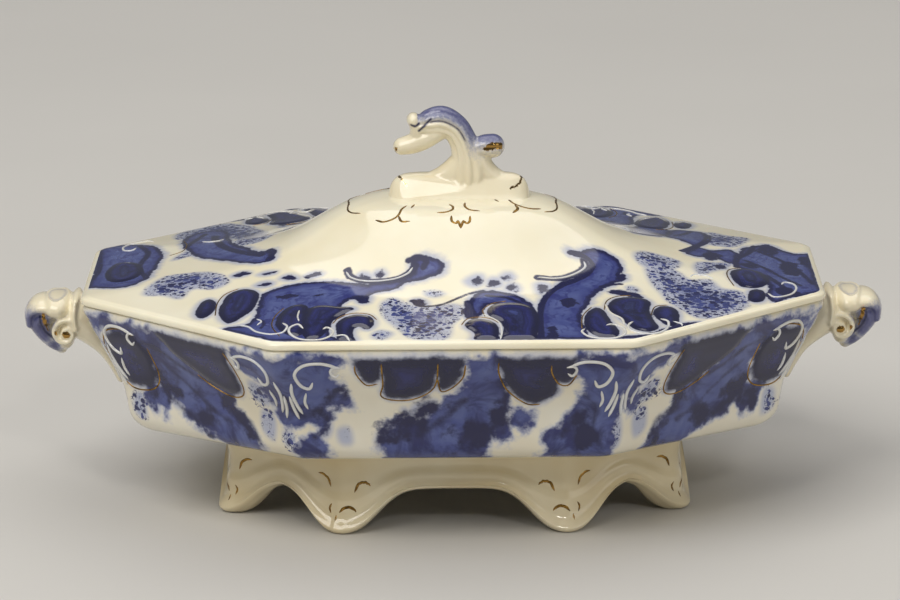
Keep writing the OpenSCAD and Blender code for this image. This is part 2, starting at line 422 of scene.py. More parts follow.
def makePrintedGlaze(name, light, warm, flow):
    material, tree = newMaterial(name)
    place = millimetres(tree)
    wobble = addNode(
        tree,
        "ShaderNodeTexNoise",
        {"Scale": 1 / flow["wobbleMm"], "Detail": 3.0, "Roughness": 0.6},
        {"Vector": place},
    )
    depth = flow["wobbleDepth"]
    fine = addNode(
        tree,
        "ShaderNodeMapRange",
        {"From Min": 0.3, "From Max": 0.7, "To Min": -depth / 2, "To Max": depth / 2, "clamp": False},
        {"Value": wobble},
    )
    cloud = addNode(
        tree,
        "ShaderNodeTexNoise",
        {"Scale": 1 / flow["cloudMm"], "Detail": 2.0, "Roughness": 0.5},
        {"Vector": place},
    )
    depth = flow["cloudDepth"]
    broad = addNode(
        tree,
        "ShaderNodeMapRange",
        {"From Min": 0.3, "From Max": 0.7, "To Min": -depth / 2, "To Max": depth / 2, "clamp": False},
        {"Value": cloud},
    )

    # each layer's distance, wandered by its own share of the fine and the broad wobble
    shares = {
        "wash": (0.9, 0.8),
        "shell": (0.35, 0.12),
        "leaf": (1.5, 1.2),
        "line": (0.4, 0.1),
        "spray": (1.0, 1.0),
    }
    layers, near = {}, {}
    for layer, (fineShare, broadShare) in shares.items():
        layers[layer] = addNode(tree, "ShaderNodeAttribute", {"attribute_name": layer})
        step = addNode(
            tree,
            "ShaderNodeMath",
            {"operation": "MULTIPLY_ADD", 1: fineShare},
            {0: fine, 2: (layers[layer], "Fac")},
        )
        near[layer] = addNode(
            tree, "ShaderNodeMath", {"operation": "MULTIPLY_ADD", 1: broadShare}, {0: broad, 2: step}
        )
    softness = {"wash": 1.0, "shell": 0.8, "leaf": 1.7, "line": 1.1}
    mask = {}
    for layer, times in softness.items():
        mask[layer] = addNode(
            tree,
            "ShaderNodeMapRange",
            {
                "interpolation_type": "SMOOTHSTEP",
                "From Min": -flow["edge"] * times,
                "From Max": flow["edge"] * times,
            },
            {"Value": near[layer]},
        )

    # clay under the print
    drift = addNode(
        tree, "ShaderNodeTexNoise", {"Scale": 1 / glaze["toneMm"], "Detail": 3.0}, {"Vector": place}
    )
    tone = addNode(tree, "ShaderNodeMapRange", {"From Min": 0.35, "From Max": 0.7}, {"Value": drift})
    clay = addNode(
        tree, "ShaderNodeMix", {"data_type": "RGBA", 6: linear(light), 7: linear(warm)}, {0: tone}
    )

    # mist: strongest at the print's edge, gone at mistMm
    most = addNode(tree, "ShaderNodeMath", {"operation": "MAXIMUM"}, {0: near["wash"], 1: near["shell"]})
    most = addNode(
        tree, "ShaderNodeMath", {"operation": "MAXIMUM"}, {0: most, 1: (layers["leaf"], "Fac")}
    )
    sprayNear = addNode(
        tree, "ShaderNodeMath", {"operation": "SUBTRACT", 1: 1.2}, {0: (layers["spray"], "Fac")}
    )
    most = addNode(tree, "ShaderNodeMath", {"operation": "MAXIMUM"}, {0: most, 1: sprayNear})
    mist = addNode(
        tree,
        "ShaderNodeMapRange",
        {
            "interpolation_type": "SMOOTHSTEP",
            "From Min": -cobalt["mistMm"],
            "From Max": 0.4,
            "To Max": 0.8,
        },
        {"Value": most},
    )
    misty = addNode(
        tree, "ShaderNodeMix", {"data_type": "RGBA", 7: linear(cobalt["mist"])}, {0: mist, 6: (clay, 2)}
    )

    # sprays: irregular dabs that crowd together deeper in, and thin stems between them
    bent = addNode(tree, "ShaderNodeTexNoise", {"Scale": 0.5, "Detail": 2.0}, {"Vector": place})
    bentPlace = addNode(
        tree,
        "ShaderNodeMix",
        {"data_type": "VECTOR", 0: 0.5},
        {
            4: place,
            5: addNode(
                tree,
                "ShaderNodeVectorMath",
                {"operation": "MULTIPLY_ADD", 1: (5.0, 5.0, 5.0)},
                {0: (bent, 1), 2: place},
            ),
        },
    )
    dabs = addNode(
        tree,
        "ShaderNodeTexVoronoi",
        {"feature": "F1", "Scale": 1 / cobalt["petalMm"], "Randomness": 1.0},
        {"Vector": (bentPlace, 1)},
    )
    crowd = addNode(
        tree,
        "ShaderNodeMapRange",
        {"From Min": 0.0, "From Max": 9.0, "To Min": 0.34, "To Max": 0.66},
        {"Value": near["spray"]},
    )
    dabEdge = addNode(
        tree, "ShaderNodeMath", {"operation": "SUBTRACT"}, {0: crowd, 1: (dabs, "Distance")}
    )
    dabMask = addNode(
        tree,
        "ShaderNodeMapRange",
        {"interpolation_type": "SMOOTHSTEP", "From Min": -0.05, "From Max": 0.06},
        {"Value": dabEdge},
    )
    stems = addNode(
        tree, "ShaderNodeTexNoise", {"Scale": 0.32, "Detail": 1.0, "Distortion": 1.6}, {"Vector": place}
    )
    stemMiddle = addNode(tree, "ShaderNodeMath", {"operation": "SUBTRACT", 1: 0.5}, {0: stems})
    stemAway = addNode(tree, "ShaderNodeMath", {"operation": "ABSOLUTE"}, {0: stemMiddle})
    stemMask = addNode(
        tree,
        "ShaderNodeMapRange",
        {"interpolation_type": "SMOOTHSTEP", "From Min": 0.03, "From Max": 0.012},
        {"Value": stemAway},
    )
    sprayInk = addNode(tree, "ShaderNodeMath", {"operation": "MAXIMUM"}, {0: dabMask, 1: stemMask})
    sprayMask = addNode(
        tree,
        "ShaderNodeMapRange",
        {"interpolation_type": "SMOOTHSTEP", "From Min": -0.6, "From Max": 0.8},
        {"Value": near["spray"]},
    )
    sprayFactor = addNode(tree, "ShaderNodeMath", {"operation": "MULTIPLY"}, {0: sprayInk, 1: sprayMask})
    petalPick = addNode(tree, "ShaderNodeSeparateColor", None, {0: (dabs, "Color")})
    sprayTone = addNode(
        tree,
        "ShaderNodeMix",
        {"data_type": "RGBA", 6: linear(cobalt["navy"]), 7: linear(cobalt["wash"])},
        {0: (petalPick, 1)},
    )
    veil = addNode(
        tree,
        "ShaderNodeMapRange",
        {"interpolation_type": "SMOOTHSTEP", "From Min": 2.0, "From Max": 11.0, "To Max": 0.7},
        {"Value": near["spray"]},
    )
    veiled = addNode(
        tree,
        "ShaderNodeMix",
        {"data_type": "RGBA", 7: linear(cobalt["paleWash"])},
        {0: veil, 6: (misty, 2)},
    )
    sprayed = addNode(
        tree, "ShaderNodeMix", {"data_type": "RGBA"}, {0: sprayFactor, 6: (veiled, 2), 7: (sprayTone, 2)}
    )

    # washes: watery tone, dark brush marks, streaks that follow the outline, dark towards the edge
    water = addNode(
        tree,
        "ShaderNodeTexNoise",
        {"Scale": 1 / 15, "Detail": 4.0, "Roughness": 0.55, "Distortion": 1.2},
        {"Vector": place},
    )
    waterTone = addNode(
        tree, "ShaderNodeMapRange", {"From Min": 0.35, "From Max": 0.66}, {"Value": water}
    )
    washTone = addNode(
        tree,
        "ShaderNodeMix",
        {"data_type": "RGBA", 6: linear(cobalt["wash"]), 7: linear(cobalt["paleWash"])},
        {0: waterTone},
    )
    brush = addNode(
        tree,
        "ShaderNodeTexNoise",
        {"Scale": 1 / flow["brushMm"], "Detail": 4.0, "Roughness": 0.6, "Distortion": 0.7},
        {"Vector": place},
    )
    brushMask = addNode(
        tree,
        "ShaderNodeMapRange",
        {
            "interpolation_type": "SMOOTHSTEP",
            "From Min": flow["brushFrom"],
            "From Max": 0.66,
            "To Max": flow["mottle"],
        },
        {"Value": brush},
    )
    brushed = addNode(
        tree,
        "ShaderNodeMix",
        {"data_type": "RGBA", 7: linear(flow["brushTone"])},
        {0: brushMask, 6: (washTone, 2)},
    )
    washPhase = addNode(
        tree, "ShaderNodeMath", {"operation": "MULTIPLY_ADD", 1: 5.0}, {0: water, 2: near["wash"]}
    )
    washWave = addNode(
        tree,
        "ShaderNodeMath",
        {"operation": "SINE"},
        {
            0: addNode(
                tree,
                "ShaderNodeMath",
                {"operation": "MULTIPLY", 1: 2 * math.pi / cobalt["streakMm"]},
                {0: washPhase},
            )
        },
    )
    streak = addNode(
        tree,
        "ShaderNodeMapRange",
        {
            "interpolation_type": "SMOOTHSTEP",
            "From Min": 0.2,
            "From Max": 0.95,
            "To Max": flow["streaks"],
        },
        {"Value": washWave},
    )
    someStreak = addNode(
        tree,
        "ShaderNodeMath",
        {"operation": "MULTIPLY"},
        {
            0: streak,
            1: addNode(tree, "ShaderNodeMapRange", {"From Min": 0.42, "From Max": 0.6}, {"Value": cloud}),
        },
    )
    streaked = addNode(
        tree,
        "ShaderNodeMix",
        {"data_type": "RGBA", 7: linear(cobalt["violet"])},
        {0: someStreak, 6: (brushed, 2)},
    )
    shade = addNode(
        tree,
        "ShaderNodeMapRange",
        {"interpolation_type": "SMOOTHSTEP", "From Min": 6.0, "From Max": 0.3, "To Max": flow["shade"]},
        {"Value": near["wash"]},
    )
    shaded = addNode(
        tree,
        "ShaderNodeMix",
        {"data_type": "RGBA", 7: linear(cobalt["violet"])},
        {0: shade, 6: (streaked, 2)},
    )
    rimLine = addNode(
        tree,
        "ShaderNodeMapRange",
        {
            "interpolation_type": "SMOOTHSTEP",
            "From Min": flow["edgeInkMm"],
            "From Max": 0.9,
            "To Max": flow["edgeInk"],
        },
        {"Value": near["wash"]},
    )
    edged = addNode(
        tree,
        "ShaderNodeMix",
        {"data_type": "RGBA", 7: linear(cobalt["navy"])},
        {0: rimLine, 6: (shaded, 2)},
    )
    washed = addNode(
        tree, "ShaderNodeMix", {"data_type": "RGBA"}, {0: mask["wash"], 6: (sprayed, 2), 7: (edged, 2)}
    )

    # dark leaves, then engraved lines
    leafed = addNode(
        tree,
        "ShaderNodeMix",
        {"data_type": "RGBA", 7: linear(cobalt["navy"])},
        {0: mask["leaf"], 6: (washed, 2)},
    )
    lined = addNode(
        tree,
        "ShaderNodeMix",
        {"data_type": "RGBA", 7: linear(cobalt["navy"])},
        {0: mask["line"], 6: (leafed, 2)},
    )

    # shells: night-blue border that lightens inwards, with ribs along the outline
    ramp = addNode(
        tree,
        "ShaderNodeValToRGB",
        None,
        {
            "Fac": addNode(
                tree, "ShaderNodeMapRange", {"From Max": flow["shellMm"]}, {"Value": near["shell"]}
            )
        },
    )
    stops = [
        (0.0, "night"), (0.11, "night"), (0.2, "navy"), (0.42, "violet"), (0.54, "navy"), (0.85, "wash")
    ]
    ramp.color_ramp.elements[0].color = linear(cobalt["night"])
    ramp.color_ramp.elements[1].position = stops[-1][0]
    ramp.color_ramp.elements[1].color = linear(cobalt[stops[-1][1]])
    for at, tint in stops[1:-1]:
        ramp.color_ramp.elements.new(at).color = linear(cobalt[tint])
    shellPhase = addNode(
        tree, "ShaderNodeMath", {"operation": "MULTIPLY_ADD", 1: 3.0}, {0: water, 2: near["shell"]}
    )
    shellWave = addNode(
        tree,
        "ShaderNodeMath",
        {"operation": "SINE"},
        {
            0: addNode(
                tree,
                "ShaderNodeMath",
                {"operation": "MULTIPLY", 1: 2 * math.pi / cobalt["ribMm"]},
                {0: shellPhase},
            )
        },
    )
    rib = addNode(
        tree,
        "ShaderNodeMapRange",
        {"interpolation_type": "SMOOTHSTEP", "From Min": 0.1, "From Max": 0.95, "To Max": flow["ribs"]},
        {"Value": shellWave},
    )
    ribbed = addNode(
        tree, "ShaderNodeMix", {"data_type": "RGBA", 7: linear(cobalt["night"])}, {0: rib, 6: ramp}
    )
    shellDark = addNode(
        tree,
        "ShaderNodeMix",
        {"data_type": "RGBA", 7: linear(cobalt["night"])},
        {0: brushMask, 6: (ribbed, 2)},
    )
    shelled = addNode(
        tree, "ShaderNodeMix", {"data_type": "RGBA"}, {0: mask["shell"], 6: (lined, 2), 7: (shellDark, 2)}
    )

    bump = glazeWave(tree, place, glaze["waveMm"], glaze["waveHeightMm"])
    glazeShader(tree, (shelled, 2), bump)
    return material


# Cream glaze with hand-tinted blue: the layer "tint" is the signed distance in mm into the tinted
# part, "line" into a dark line and "gold" into a gilded touch.
def makeTintedGlaze(name):
    material, tree = newMaterial(name)
    place = millimetres(tree)
    tint = addNode(tree, "ShaderNodeAttribute", {"attribute_name": "tint"})
    line = addNode(tree, "ShaderNodeAttribute", {"attribute_name": "line"})
    gold = addNode(tree, "ShaderNodeAttribute", {"attribute_name": "gold"})
    drift = addNode(tree, "ShaderNodeTexNoise", {"Scale": 1 / 14, "Detail": 3.0}, {"Vector": place})
    grain = addNode(
        tree, "ShaderNodeTexNoise", {"Scale": 0.9, "Detail": 4.0, "Roughness": 0.7}, {"Vector": place}
    )
    clay = addNode(
        tree,
        "ShaderNodeMix",
        {"data_type": "RGBA", 6: linear(glaze["ivory"]), 7: linear(glaze["warmCream"])},
        {0: drift},
    )
    shift = addNode(
        tree,
        "ShaderNodeMapRange",
        {"From Min": 0.25, "From Max": 0.75, "To Min": -0.9, "To Max": 0.9, "clamp": False},
        {"Value": grain},
    )
    deep = addNode(tree, "ShaderNodeMath", {"operation": "ADD"}, {0: (tint, "Fac"), 1: shift})
    tintMask = addNode(
        tree,
        "ShaderNodeMapRange",
        {"interpolation_type": "SMOOTHSTEP", "From Min": -1.4, "From Max": 2.2, "To Max": 0.92},
        {"Value": deep},
    )
    depth = addNode(
        tree,
        "ShaderNodeMapRange",
        {"interpolation_type": "SMOOTHSTEP", "From Min": 0.6, "From Max": 3.6},
        {"Value": deep},
    )
    tone = addNode(
        tree,
        "ShaderNodeMix",
        {"data_type": "RGBA", 6: linear("#9096B2"), 7: linear("#3A4280")},
        {0: depth},
    )
    tinted = addNode(
        tree, "ShaderNodeMix", {"data_type": "RGBA"}, {0: tintMask, 6: (clay, 2), 7: (tone, 2)}
    )
    lineMask = addNode(
        tree,
        "ShaderNodeMapRange",
        {"interpolation_type": "SMOOTHSTEP", "From Min": -0.4, "From Max": 0.4},
        {"Value": (line, "Fac")},
    )
    lined = addNode(
        tree,
        "ShaderNodeMix",
        {"data_type": "RGBA", 7: linear(cobalt["navy"])},
        {0: lineMask, 6: (tinted, 2)},
    )
    goldShift = addNode(
        tree, "ShaderNodeMath", {"operation": "MULTIPLY_ADD", 1: 0.5}, {0: shift, 2: (gold, "Fac")}
    )
    goldMask = addNode(
        tree,
        "ShaderNodeMapRange",
        {"interpolation_type": "SMOOTHSTEP", "From Min": -0.15, "From Max": 0.25},
        {"Value": goldShift},
    )
    gilded = addNode(
        tree,
        "ShaderNodeMix",
        {"data_type": "RGBA", 7: linear(gilding["gold"])},
        {0: goldMask, 6: (lined, 2)},
    )
    bump = glazeWave(tree, place, 5.0, 0.04)
    glazeShader(tree, (gilded, 2), bump, {"Metallic": goldMask})
    return material


# Burnished gilding: liquid bright gold brushed on over the glaze and fired, a thin film that is worn
# matt and brown where hands rubbed it.
gilding = {"gold": "#A88240", "worn": "#5E451E", "roughness": 0.24, "rubMm": 3.0}


def makeGilding(name):
    material, tree = newMaterial(name)
    place = millimetres(tree)
    rub = addNode(
        tree,
        "ShaderNodeTexNoise",
        {"Scale": 1 / gilding["rubMm"], "Detail": 5.0, "Roughness": 0.65},
        {"Vector": place},
    )
    worn = addNode(tree, "ShaderNodeMapRange", {"From Min": 0.42, "From Max": 0.62}, {"Value": rub})
    colour = addNode(
        tree,
        "ShaderNodeMix",
        {"data_type": "RGBA", 6: linear(gilding["gold"]), 7: linear(gilding["worn"])},
        {0: worn},
    )
    rough = addNode(
        tree,
        "ShaderNodeMapRange",
        {"From Min": 0.35, "From Max": 0.7, "To Min": 0.16, "To Max": 0.42},
        {"Value": rub},
    )
    shader = addNode(
        tree,
        "ShaderNodeBsdfPrincipled",
        {"Metallic": 0.9},
        {"Base Color": (colour, 2), "Roughness": rough},
    )
    addNode(tree, "ShaderNodeOutputMaterial", None, {"Surface": shader})
    return material


creamGlaze = makeCreamGlaze("creamGlaze", glaze["cream"], glaze["warmCream"])
# Painted shade: the foot gets the cream glaze in darker, warmer tones.
footShadedGlaze = makeCreamGlaze("footGlazeInShade", glaze["footShadeCream"], glaze["footShadeWarm"])
reservedGlaze = makeCreamGlaze("reservedWhiteGlaze", "#DDDFE2", "#D9D6CB")
printedLidGlaze = makePrintedGlaze("printedLidGlaze", glaze["ivory"], "#F0E7C8", crispFlow)
# The dish's clay is greyer than the lid's and its print darker: painted shade of the lid over the wall, on
# top of the print's own cobalt.
printedBowlGlazeWithShade = makePrintedGlaze("printedDishGlazeWithShade", "#EDE9DA", "#E2D9C0", softFlowAndShade)
tintedGlaze = makeTintedGlaze("tintedCreamGlaze")
burnishedGold = makeGilding("burnishedGold")
print("materials ready")


# Lid.

lid = {
    "rim": (135.0, 101.0, 63.7, 36.2),   # half length, half width, half front edge, half end edge
    "cornerRadius": 8.0,
    "cornerGrowth": 10.0,      # added to the corners' radius towards the middle
    "softMost": 0.85,
    "softPower": 2.4,
    "seatZ": 79.0,
    "edgeHeight": 3.0,
    "domeHeight": 33.0,
    "flangeRise": 10.0,
    "domeScale": 0.4,
    "domePower": 5.6,
    "wall": 4.6,
    "shellRelief": 0.45,       # how far a printed shell is moulded up
    "rimBand": 1.7,            # plain band along the rim
    "tendrilShare": 0.8,
    "tendrilHeight": 0.32,
    "giltHeight": 0.13,
    "edge": [(1.5, 3.08), (0.9, 2.9), (0.35, 2.55), (0.02, 1.95), (0.0, 1.1), (0.2, 0.5), (0.8, 0.2)],
    "underside": [
        (9.8, 0.2), (9.8, -5.2), (10.0, -5.8), (10.6, -6), (12.2, -6), (12.8, -5.8), (13, -5.2),
        (13.8, -1), (15.4, 0.3),
    ],
}
printLayers = ("wash", "shell", "leaf", "line", "spray")
lidColumns = ringColumns(7, [80, 60, 80, 106, 80, 60, 80, 106])


# Height above the seat at scale k of the rim: the edge, plus a flange that rises as 1 - k^1.4, plus
# a dome that follows 1 / (1 + (k / k0)^p).
def lidHeight(k):
    dome = lid["domeHeight"] - lid["edgeHeight"] - lid["flangeRise"]
    return lid["edgeHeight"] + lid["flangeRise"] * (1 - k**1.4) + dome / (
        1 + (k / lid["domeScale"]) ** lid["domePower"]
    )


# How far the ring at scale k has turned from the octagon to an ellipse: most (1 - k^3)^power.
def lidSoftness(k):
    return lid["softMost"] * np.clip(1 - k**3, 0, 1) ** lid["softPower"]


def lidRing(k):
    radius = lid["cornerRadius"] + lid["cornerGrowth"] * (1 - k)
    ring = octagonRing(lid["rim"], radius, lidColumns)
    soft = lidSoftness(k)
    reach = np.hypot(ring[:, 0] / lid["rim"][0], ring[:, 1] / lid["rim"][1])[:, None]
    return k * ring * (1 - soft + soft / reach)


scaleHalvings = 26


# The scale whose ring passes through a place: found by halving, since a ring's reach along one
# direction only grows with its scale.
def lidScaleAt(x, y):
    halfLength, halfWidth, frontEdge, endEdge = lid["rim"]
    run, rise = halfLength - frontEdge, halfWidth - endEdge
    ax, ay = np.abs(x), np.abs(y)
    flat = np.maximum(ax / halfLength, ay / halfWidth)
    flat = np.maximum(flat, (ax * rise + ay * run) / (frontEdge * rise + halfWidth * run))
    flat = np.maximum(flat, 1e-6)
    reach = np.hypot(x / flat / halfLength, y / flat / halfWidth)
    low, high = np.zeros_like(flat), np.full_like(flat, 1.05)
    for halving in range(scaleHalvings):
        middle = (low + high) / 2
        soft = lidSoftness(middle)
        tooSmall = middle * (1 - soft + soft / reach) < flat
        low = np.where(tooSmall, middle, low)
        high = np.where(tooSmall, high, middle)
    return (low + high) / 2


# The lid's print, in plan millimetres for the front half. The other half is the same turned by
# half a turn; the two ends have their own waves.
lidPrint = {
    "wash": [
        [
            (-64, -104), (-86, -88), (-82, -82), (-73, -79), (-70, -71), (-69.5, -58), (-68, -50),
            (-62, -45.8), (-52, -44.6), (-43, -47), (-36, -51), (-29, -52.5), (-20, -51.5), (-14.5, -48),
            (-15, -44), (-12.5, -41.6), (-8, -41.8), (-4, -43.5), (-2.8, -46), (-5, -49.5), (-11, -52),
            (-17, -53.5), (-20, -57), (-26, -58), (-29, -61), (-31, -66.5), (-34, -64), (-37.5, -64),
            (-40, -70), (-38, -76), (-43, -84), (-43, -93), (-38, -104),
        ],
        [
            (5, -70), (7, -62), (12, -58.6), (18, -59), (24, -62.5), (28, -70), (27, -76), (14, -69),
            (10, -76), (8, -80), (4.5, -80), (3.5, -74),
        ],
        [
            (29.6, -104), (29.5, -90), (29.8, -76), (31, -66), (34, -57.5), (38.5, -51), (43, -46.5),
            (46.8, -42), (49, -37), (49.5, -33.5), (47, -31.5), (44, -32.6), (41.8, -31.5), (43, -29.5),
            (46, -28.5), (49, -25.5), (53, -23), (58, -24), (61, -28), (61.3, -33), (60, -38),
            (62.5, -41), (59, -44), (57, -47), (53.5, -52), (51, -58), (48.5, -66), (46.3, -74),
            (45.3, -84), (46.5, -104),
        ],
        [
            (26, -97), (40, -98), (48, -97), (58, -97), (66, -94), (76, -85), (84, -78), (92, -80),
            (62, -108), (26, -106),
        ],
    ],
    "shell": [
        [
            (-62.3, -84), (-61.8, -74), (-59, -66.5), (-55.5, -64), (-52, -66), (-51, -74), (-51.5, -86),
            (-54, -95), (-58.5, -93),
        ],
        [
            (-52.5, -76), (-51, -69), (-47, -67), (-41, -69), (-34.8, -70.5), (-38, -75), (-41.5, -80),
            (-43.5, -88), (-46.5, -96), (-51, -98), (-53.5, -88),
        ],
        [
            (-41, -84), (-38.5, -79), (-34, -76.3), (-29.8, -77.5), (-27.8, -82), (-28.3, -87.5),
            (-30.6, -89.8), (-32.5, -87), (-34.5, -88.5), (-35, -94), (-33.5, -103), (-40, -103),
            (-40.8, -93),
        ],
        [
            (-82.5, -56), (-81, -48), (-77, -43.5), (-72.5, -44.5), (-69.5, -50), (-69.8, -58),
            (-71.5, -66), (-74.5, -72), (-79, -77.5), (-82, -72), (-83.5, -64),
        ],
        [
            (-91.5, -60), (-90, -53), (-87.5, -50), (-85, -53.5), (-84.5, -60), (-86, -66), (-89, -70),
            (-91.5, -66),
        ],
        [
            (12, -74), (14, -69.5), (19, -67.5), (25, -68.5), (29, -73), (30.3, -81), (29.8, -90),
            (27.5, -104), (16, -104), (17.5, -92), (16.5, -84), (12.8, -79),
        ],
        [
            (4, -87), (5.5, -82.5), (9, -80.8), (13, -82.5), (15.5, -87), (16, -93), (14, -104),
            (6.5, -104), (7.5, -95), (6, -91),
        ],
        [
            (46, -82), (47.5, -75), (50.5, -70), (53, -72), (54.5, -78), (56, -85), (58, -92),
            (57, -97.5), (52.5, -99), (48.5, -95), (46.2, -89),
        ],
        [
            (54.6, -70), (56, -63), (59, -59), (64, -57), (68.5, -58), (70.3, -62), (69.6, -70),
            (70.5, -78), (72, -86), (69, -91), (64, -90), (60.5, -84), (57.5, -78),
        ],
        [
            (70.8, -70), (73, -65), (76.5, -63.5), (79.5, -67), (80, -74), (79, -81), (76, -84),
            (73, -80), (71.2, -75),
        ],
    ],
    "leaf": [
        [(-14.5, -66), (-12.5, -64.5), (-10, -66), (-9.5, -69.5), (-12.5, -70)],
        [(-71, -41), (-68, -38.5), (-65, -40.5), (-66, -43), (-69.5, -43)],
        [(-62, -38), (-60, -36), (-57, -38.5), (-56, -41), (-59, -40.5)],
        [(-53, -39.5), (-50, -38.5), (-47.5, -40.5), (-51, -41.5)],
        [(-34, -46.5), (-32, -46), (-29.5, -49), (-33, -50.5)],
        [(-28, -47.5), (-26, -46), (-24.5, -48), (-26.5, -48.8)],
        [(-80, -28), (-77, -26), (-74, -28), (-76, -30), (-79.5, -30)],
        [(-70, -31), (-67, -30), (-64, -32), (-67.5, -32.6)],
        [(-37, -61), (-33, -59.5), (-29.5, -61), (-30.5, -66), (-33, -66.5), (-34.5, -63.5)],
        [(5, -53), (9.5, -50), (10.5, -53), (8, -55.5)],
        [(13, -52.5), (16, -51.5), (17, -55), (13.5, -56)],
        [(17, -51), (20, -48.5), (21.5, -50.5), (19, -52)],
        [(19, -57.5), (20.5, -54), (23, -55.5), (22.5, -59)],
        [(30, -54), (33, -53), (35, -55), (33, -59), (31, -60)],
        [(38, -66), (41, -62), (44, -64), (43, -70), (40, -72)],
        [(32.5, -92), (35, -88), (37, -94), (36.5, -102), (33.5, -102)],
        [(60, -37), (62.5, -36.5), (62, -41), (59.5, -42.5)],
        [(56, -54), (60, -52), (66, -54), (67, -57), (60, -56.5)],
        [(-50, -56), (-46, -55), (-46, -58), (-50, -59)],
        [(-63, -54), (-57, -53.5), (-56, -56), (-61, -56)],
    ],
    "line": [
        (3.0, [(-38, -41.5), (-36.5, -46.5), (-31, -50.8), (-22, -51), (-16, -48.5), (-13.5, -45)]),
        (2.3, [(-16, -42.6), (-12.5, -41.6), (-9.6, -43), (-10.5, -46)]),
        (1.5, [(-14, -66), (-12, -69.8), (-5, -69.2), (1, -64.5), (6, -60.5), (11, -58.8)]),
        (3.2, [(5.4, -67), (6, -73), (7.4, -80)]),
        (1.6, [(12, -62), (19, -63.5), (24, -68), (26, -74)]),
        (2.4, [(30.8, -100), (30.6, -78), (32.6, -64), (38, -54), (44, -47.4), (48.4, -41), (50.4, -35)]),
        (3.3, [(30.5, -49.5), (36, -48.8), (41, -46), (45.5, -41), (47.8, -36.5), (47.4, -33.2)]),
        (2.0, [(42.4, -31.2), (45, -30), (48.6, -30.4), (50.4, -33.5)]),
        (1.6, [(53, -50), (56, -47.5), (60.5, -45.5)]),
        (1.3, [(-68, -76), (-66.5, -80), (-67.5, -85)]),
    ],
    "spray": [
        [
            (-25, -66), (-21, -63), (-16, -68), (-8, -70), (0, -68), (4, -72), (3, -80), (0, -86),
            (-1, -95), (-4, -99), (-14, -98), (-19, -90), (-24, -80), (-25.5, -72),
        ],
        [(-28, -92), (-25, -90), (-21, -93), (-24, -98), (-28, -97)],
        [(-10, -59), (-6, -58.6), (-3, -60.5), (-6, -63), (-9.5, -62)],
        [
            (70, -24), (76, -20), (82, -27), (86, -34), (93, -32), (97, -40), (104, -42), (106, -52),
            (104, -60), (98, -68), (88, -74), (82, -68), (77, -60), (74, -50), (71, -40),
        ],
        [(66, -20), (70, -11), (76, -10), (83, -14), (82, -22), (78, -28), (72, -30)],
        [(90, -11), (97, -8), (104, -4), (101, -14), (95, -22), (90, -28), (88, -20)],
        [(62, -48), (65, -46), (67, -51), (64, -54)],
        [
            (-106, -20), (-98, -18), (-90, -20), (-84, -26), (-81, -34), (-86, -40), (-94, -38),
            (-98, -47), (-104, -42), (-112, -38),
        ],
    ],
}
lidEnds = {
    "wash": [
        [
            (-65, -20.8), (-70, -21), (-76, -17), (-82, -10), (-89, -3), (-94, 4), (-98, 14), (-101, 26),
            (-102, 40), (-99, 52), (-92, 58), (-86, 52), (-84.5, 40), (-83, 26), (-80, 14), (-76, 5),
            (-72, -4), (-69, -8), (-66.5, -9), (-65.5, -13),
        ],
        [
            (-138, -14), (-130, -24), (-119, -28), (-112, -20), (-110, -8), (-108, 8), (-109, 22),
            (-114, 34), (-124, 40), (-138, 36),
        ],
        [
            (104, -12), (103, -2), (106, 10), (109, 20), (113, 24), (118, 29), (123, 22), (128, 18),
            (138, 20), (140, -10), (138, -38), (120, -54), (113, -46), (114, -34), (112, -18),
        ],
        [
            (101, -8), (97, -1), (90, -4), (86, 0), (89, 8), (93, 16), (96, 26), (97, 38), (94, 46),
            (84, 46), (81, 36), (80, 24), (85, 20), (90, 14), (96, 10), (103, 14), (106, 8), (105, -4),
        ],
        [(66, 16), (70, 17), (78, 22), (82, 30), (82, 44), (72, 48), (67, 40), (66, 28)],
    ],
    "shell": [
        [
            (101, -26), (102, -18), (106, -13.5), (111, -14.5), (114, -20), (115, -28), (112.5, -35),
            (108, -38), (103.5, -36),
        ],
        [(106, -46), (107.5, -40), (111, -38.5), (112.5, -43), (111.5, -50), (108.5, -53), (106, -51)],
        [(-127, -14), (-122, -20), (-116, -16), (-114, -6), (-117, 6), (-124, 10), (-128, 0)],
    ],
    "leaf": [
        [(92, 0), (95, 8), (99, 4), (97, -4), (94, -6)],
        [(114, 22), (118, 27), (122, 20), (119, 12), (115, 14)],
        [(96, -13), (99, -11), (100, -16), (96, -18)],
        [(120, -6), (124, 4), (128, 0), (127, -14), (122, -16)],
        [(116, -36), (122, -34), (126, -42), (120, -48)],
        [(106, -8), (110, -2), (113, -8), (109, -12)],
        [(128, 8), (132, 14), (133, 2), (131, -4)],
    ],
    "line": [
        (3.0, [(-67.5, -8.5), (-65.8, -13), (-67, -19)]),
        (3.2, [(-70, -12), (-78, 0), (-85, 14), (-89, 30), (-90, 42)]),
        (2.4, [(104, -12), (105, 0), (110, 12), (113, 24)]),
        (2.6, [(114, -20), (119, -32), (121, -44)]),
        (2.2, [(112, 18), (120, 8), (127, -8), (131, -26)]),
        (2.0, [(108, 0), (114, -8), (120, -20), (126, -30)]),
        (2.2, [(84, 30), (88, 38), (90, 44)]),
        (2.4, [(-112, -18), (-116, 0), (-114, 20), (-118, 34)]),
        (2.2, [(-134, -16), (-131, 0), (-132, 18), (-134, 30)]),
        (2.4, [(-100, 22), (-97, 36), (-94, 50)]),
        (3.0, [(85, 2), (90, 12), (95, 24), (96.5, 38)]),
    ],
    "spray": [],
}


